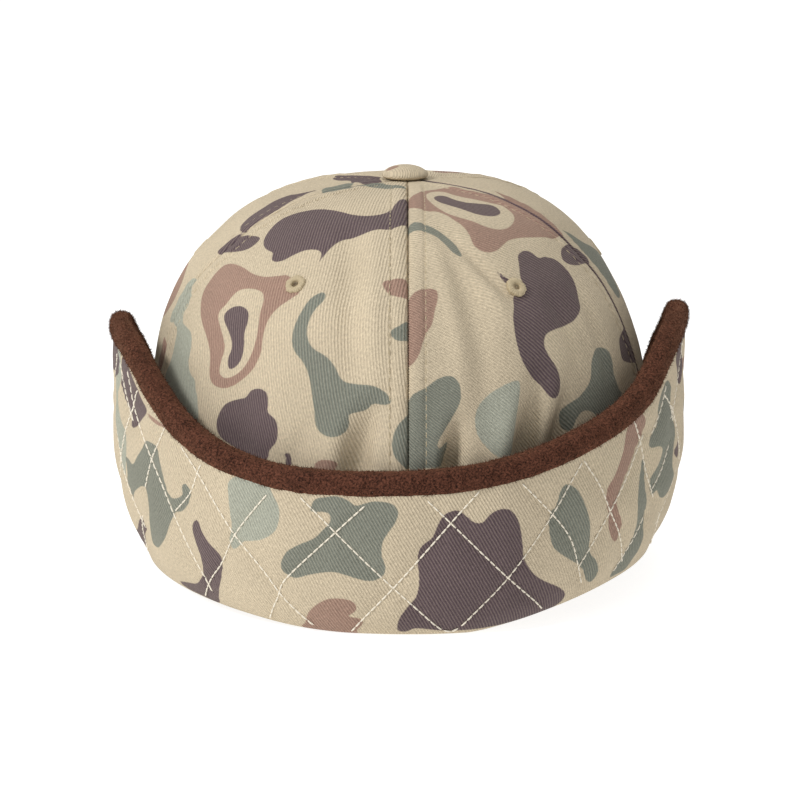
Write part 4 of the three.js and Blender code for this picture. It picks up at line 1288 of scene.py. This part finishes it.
# The fleece: down the flap's inner face, and rolled over its edge
facing = {
    "rollFrom": -88, "rollTurn": 278,  # degrees round the roll
    "slack": 0.3, "least": 0.5,
    "endCap": 0.7, "closing": 0.92,  # each front end closes within this many degrees, by this share
    "sewnAt": 0.12, "sewnWidth": 0.03, "sewnDepth": 0.5,  # along the roll, where it is sewn down
    "lumps": ((14, 21, 0.12), (3.2, 5, 0.1), (1.5, 9, 0.14)),  # size in mm, seed, height
    "wall": 1.0,
}


def fleeceShape(azimuth, path):
    # path: 0 to 1 round the roll from under its outer side over the top, 1 to 2 down the inner face
    floor = rimHeight(azimuth)
    top = sided(edgeAt, azimuth)
    tall = rollHeight(azimuth)
    flare = flapOffset(azimuth, top)
    outside = flare + roll["proud"]
    inside = flare - roll["quilt"] - roll["apart"] - roll["fleece"] - facing["slack"]
    turn = np.radians(facing["rollFrom"] + facing["rollTurn"] * np.clip(path, 0, 1))
    power = 2 / roll["fullness"]
    offset = (outside + inside) / 2 + (outside - inside) / 2 * fuller(np.cos(turn), power)
    height = top - tall / 2 + tall / 2 * fuller(np.sin(turn), power)
    start = floor + foot["rise"] + 5
    down = np.clip(path - 1, 0, 1)
    lower = (top - tall * 0.78) * (1 - down) + np.minimum(start, top - tall - 2) * down
    face = flapOffset(azimuth, lower) - roll["quilt"] - roll["apart"] - roll["fleece"]
    face = np.maximum(face, facing["least"])
    offset = np.where(path > 1, face, offset)
    height = np.where(path > 1, lower, height)
    # each front end is folded in on itself and closed
    closing = facing["closing"] * ramp(flapReach, flapReach + facing["endCap"], np.abs(azimuth))
    core = np.where(path > 1, face + roll["fleece"] + roll["apart"], (outside + inside) / 2)
    offset = offset + (core - offset) * closing
    height = height + (np.where(path > 1, height, top - tall / 2) - height) * closing
    x, y = ovalPoint(azimuth, offset)
    points = np.stack([x, y, height], -1)
    relief = -facing["sewnDepth"] * bell(path - facing["sewnAt"], facing["sewnWidth"])
    for size, seed, strength in facing["lumps"]:
        relief = relief + strength * unevenness(points, size, seed)
    points = points + gridNormals(points) * relief[..., None]
    return points, np.stack([flapAcross(azimuth), height], -1), {}


endTurns = flapReach + facing["endCap"] * np.array([0.25, 0.5, 0.75, 1])
fleeceTurn = np.concatenate([-endTurns[::-1], np.linspace(-flapReach, flapReach, 521), endTurns])
fleecePath = np.concatenate([np.linspace(0, 1, 31), np.linspace(1, 2, 17)[1:]])
fleeceCloth = gridPiece("flap_fleece", fleeceTurn, fleecePath, fleeceShape, [brownFleece])
pileBase = toFrame(fleeceShape(*np.meshgrid(fleeceTurn, fleecePath))[0]) / mm
withWall(fleeceCloth, facing["wall"])
finished(fleeceCloth, "fleece", "earflap_fleece")
print("fleece made")

pile = {
    "count": 42000, "length": 0.95, "spread": 0.3, "thick": 0.13, "lean": 0.75,
    "rows": 36,  # how many rows of the fleece's grid carry fibres
    "sunk": 0.12, "footWidth": 1.6,
}


def pileFibres(grid):
    # short fibres over the roll, each a closed spike with three sides
    dice = np.random.default_rng(4)
    normals = gridNormals(grid)
    corner = grid[:-1, :-1]
    area = np.linalg.norm(np.cross(grid[:-1, 1:] - corner, grid[1:, :-1] - corner), axis=-1)
    area = area[:pile["rows"]]
    chance = (area / area.sum()).ravel()
    pick = dice.choice(len(chance), pile["count"], p=chance)
    j, i = np.unravel_index(pick, area.shape)
    s, t = dice.random((2, pile["count"], 1))
    near = grid[j, i] * (1 - s) * (1 - t) + grid[j, i + 1] * s * (1 - t)
    root = near + grid[j + 1, i] * (1 - s) * t + grid[j + 1, i + 1] * s * t
    out = normals[j, i]
    loose = dice.normal(size=(pile["count"], 3)) * pile["lean"]
    ahead = unit(out + loose - out * np.sum(loose * out, axis=1, keepdims=True))
    length = pile["length"] * (1 + pile["spread"] * dice.normal(size=(pile["count"], 1)))
    aside = unit(np.cross(ahead, dice.normal(size=(pile["count"], 3))))
    other = np.cross(ahead, aside)
    low = root - out * pile["sunk"]
    parts = [low + ahead * np.abs(length)]
    for k in range(3):
        turn = 2 * np.pi * k / 3
        radius = pile["thick"] / 2 * pile["footWidth"]
        parts.append(low + radius * (np.cos(turn) * aside + np.sin(turn) * other))
    points = np.stack(parts, 1).reshape(-1, 3)
    base = np.arange(pile["count"])[:, None] * 4
    faces = np.concatenate([base + [[0, 1, 2]], base + [[0, 2, 3]], base + [[0, 3, 1]], base + [[3, 2, 1]]])
    return points, faces.tolist()


points, faces = pileFibres(pileBase)
fibres = joinedMesh("flap_fleece_pile", points * mm, faces, brownFleece)
finished(fibres, "fleece")
print("pile made")


# The peak
peakCorner = 180 - 8 * (180 - frontSeam) / 9  # azimuth at which the peak meets the crown's edge
peak = {
    "outerTurn": 124, "halfWidth": 86, "widestAt": 85, "tip": 172, "back": 56, "squareness": 2.4, "thick": 3,
    "crownHeight": 22.55, "arch": 250, "slope": 0.1, "slopeFrom": 60,
    "rows": 5, "rowStep": 9.5, "edge": 5, "groove": 0.3, "grooveWidth": 0.8,
    "bead": 0.35, "beadAt": 1.2, "beadWidth": 1.4,
    "printFrom": (118, 105), "wale": 25,
    "stitchSunk": 0.25, "rowEnd": 0.985, "shortest": 4,
}
middleX = (oval["right"] - oval["left"]) / 2


def peakHeight(x, y):
    arch = (x - middleX) ** 2 / (2 * peak["arch"])
    return peak["crownHeight"] - arch - (y - peak["slopeFrom"]) * peak["slope"]


def peakPlace(share, out):
    sx, sy = ovalPoint(180 - (180 - peakCorner) * share, -clothWall)
    turn = np.radians(peak["outerTurn"] * share)
    power = 2 / peak["squareness"]
    forward = np.where(np.cos(turn) > 0, peak["tip"] - peak["widestAt"], peak["widestAt"] - peak["back"])
    ex = peak["halfWidth"] * fuller(np.sin(turn), power) + middleX
    ey = peak["widestAt"] + forward * fuller(np.cos(turn), power)
    return sx + (ex - sx) * out, sy + (ey - sy) * out, np.hypot(ex - sx, ey - sy)


def peakShape(share, path):
    # path: 0 to 1 forward over the top, 1 to 2 round the edge, 2 to 3 back underneath
    half = peak["thick"] / 2
    around = np.clip(path - 1, 0, 1)
    _, _, deep = peakPlace(share, 0 * path)
    out = np.where(path <= 1, path, np.where(path >= 2, 3 - path, 1))
    inset = half * np.where((path > 1) & (path < 2), 1 - np.sin(np.pi * around), 1)
    x, y, _ = peakPlace(share, out * (1 - inset / np.maximum(deep, 4)))
    drop = np.where(path <= 1, 0, np.where(path >= 2, peak["thick"], half * (1 - np.cos(np.pi * around))))
    fromEdge = (1 - out) * deep
    relief = peak["bead"] * bell(fromEdge - peak["beadAt"], peak["beadWidth"])
    for row in range(peak["rows"]):
        fromRow = fromEdge - peak["edge"] - peak["rowStep"] * row
        relief = relief - peak["groove"] * bell(fromRow, peak["grooveWidth"])
    relief = relief * np.where(path <= 1, 1, np.where(path >= 2, -1, 0))
    points = np.stack([x, y, peakHeight(x, y) - drop + relief], -1)
    side = np.where(path <= 1.5, 1, -1)
    printY, printX = peak["printFrom"]
    places = np.stack([(printY - y) * side, printX + (x - middleX) * side], -1)
    return points, weaveTurned(x, y, peak["wale"]), printOn(places, frontPrint)


peakAcross = np.linspace(-1, 1, 161)
peakPath = np.concatenate([np.linspace(0, 1, 59), np.linspace(1, 2, 9)[1:], np.linspace(2, 3, 31)[1:]])
board = gridPiece("twill_peak", peakAcross, peakPath, peakShape, [printedTwill])
bpy.ops.object.mode_set(mode="EDIT")
bpy.ops.mesh.select_all(action="SELECT")
bpy.ops.mesh.remove_doubles(threshold=0.02 * mm)  # the sides' ends, where top and underside meet
bpy.ops.mesh.select_all(action="DESELECT")
bpy.ops.mesh.select_mode(type="EDGE")
bpy.ops.mesh.select_non_manifold()
bpy.ops.mesh.edge_face_add()
bpy.ops.mesh.select_all(action="SELECT")
bpy.ops.mesh.normals_make_consistent(inside=False)
bpy.ops.object.mode_set(mode="OBJECT")
finished(board, "twill", "peak")

rows = []
for row in range(peak["rows"]):
    share = np.linspace(-peak["rowEnd"], peak["rowEnd"], 400)
    _, _, deep = peakPlace(share, 0 * share)
    away = peak["edge"] + peak["rowStep"] * row
    inside = deep > away + peak["shortest"]
    share, deep = share[inside], deep[inside]
    x, y, _ = peakPlace(share, 1 - away / deep)
    line = np.stack([x, y, peakHeight(x, y) - peak["stitchSunk"]], -1)
    up = np.stack([(x - middleX) / peak["arch"], 0 * x + peak["slope"], 1 + 0 * x], -1)
    rows.append((line, unit(up)))
sewnOn("peak_topstitching", rows, stitch, seamThread)
print("peak made")


# Studio
studio = {
    "roughness": 0.9, "specular": 0.1, "sheen": 0, "sheenTint": "#ffffff",
    "floor": "#aaa9a7", "floorSize": 14, "floorPlace": (0, 2, -0.0003),
    "glow": 0.86, "world": 0.44, "aim": (0, 0, 0.06),
    "lights": [
        {"name": "key", "from": (-1.25, -0.95, 1.2), "size": 0.5, "power": 22},
        {"name": "top", "from": (0.0, 0.1, 1.85), "size": 1.2, "power": 10.5},
    ],
}
bpy.ops.mesh.primitive_plane_add(size=studio["floorSize"], location=studio["floorPlace"])
floor = bpy.context.object
floor.name = "floor"
# Seamless paper: matt, and lit through, so that it shows as white as the photo's ground
paper, _, paperShader = newMaterial("seamless paper", studio)
paperShader.inputs["Base Color"].default_value = linear(studio["floor"])
paperShader.inputs["Emission Color"].default_value = linear("#ffffff")
paperShader.inputs["Emission Strength"].default_value = studio["glow"]
floor.data.materials.append(paper)

world = bpy.data.worlds.new("studio")
bpy.context.scene.world = world
world.use_nodes = True
world.node_tree.nodes["Background"].inputs["Color"].default_value = linear("#ffffff")
world.node_tree.nodes["Background"].inputs["Strength"].default_value = studio["world"]
aim = Vector(studio["aim"])
for settings in studio["lights"]:
    light = bpy.data.lights.new(settings["name"], "AREA")
    light.energy = settings["power"]
    light.size = settings["size"]
    lamp = bpy.data.objects.new(settings["name"], light)
    bpy.context.scene.collection.objects.link(lamp)
    lamp.location = settings["from"]
    lamp.rotation_euler = (aim - lamp.location).to_track_quat("-Z", "Y").to_euler()

# The photo's camera: from behind, 12 degrees above, 1.2 m away, aimed a little left of the crown's axis
view = {"elevation": 12, "distance": 1.2, "aside": -2.66, "height": 57, "span": 284, "sensor": 36}
camera = bpy.data.cameras.new("camera")
camera.sensor_width = view["sensor"]
camera.lens = view["sensor"] * view["distance"] / (view["span"] * mm)
eye = bpy.data.objects.new("camera", camera)
bpy.context.scene.collection.objects.link(eye)
target = Vector(toFrame(np.array([view["aside"], 0, view["height"]])))
lean = np.radians(view["elevation"])
eye.location = target + Vector((0, -np.cos(lean), np.sin(lean))) * view["distance"]
eye.rotation_euler = (target - eye.location).to_track_quat("-Z", "Y").to_euler()
bpy.context.scene.camera = eye
bpy.context.scene.view_settings.view_transform = "Standard"

print("studio made")
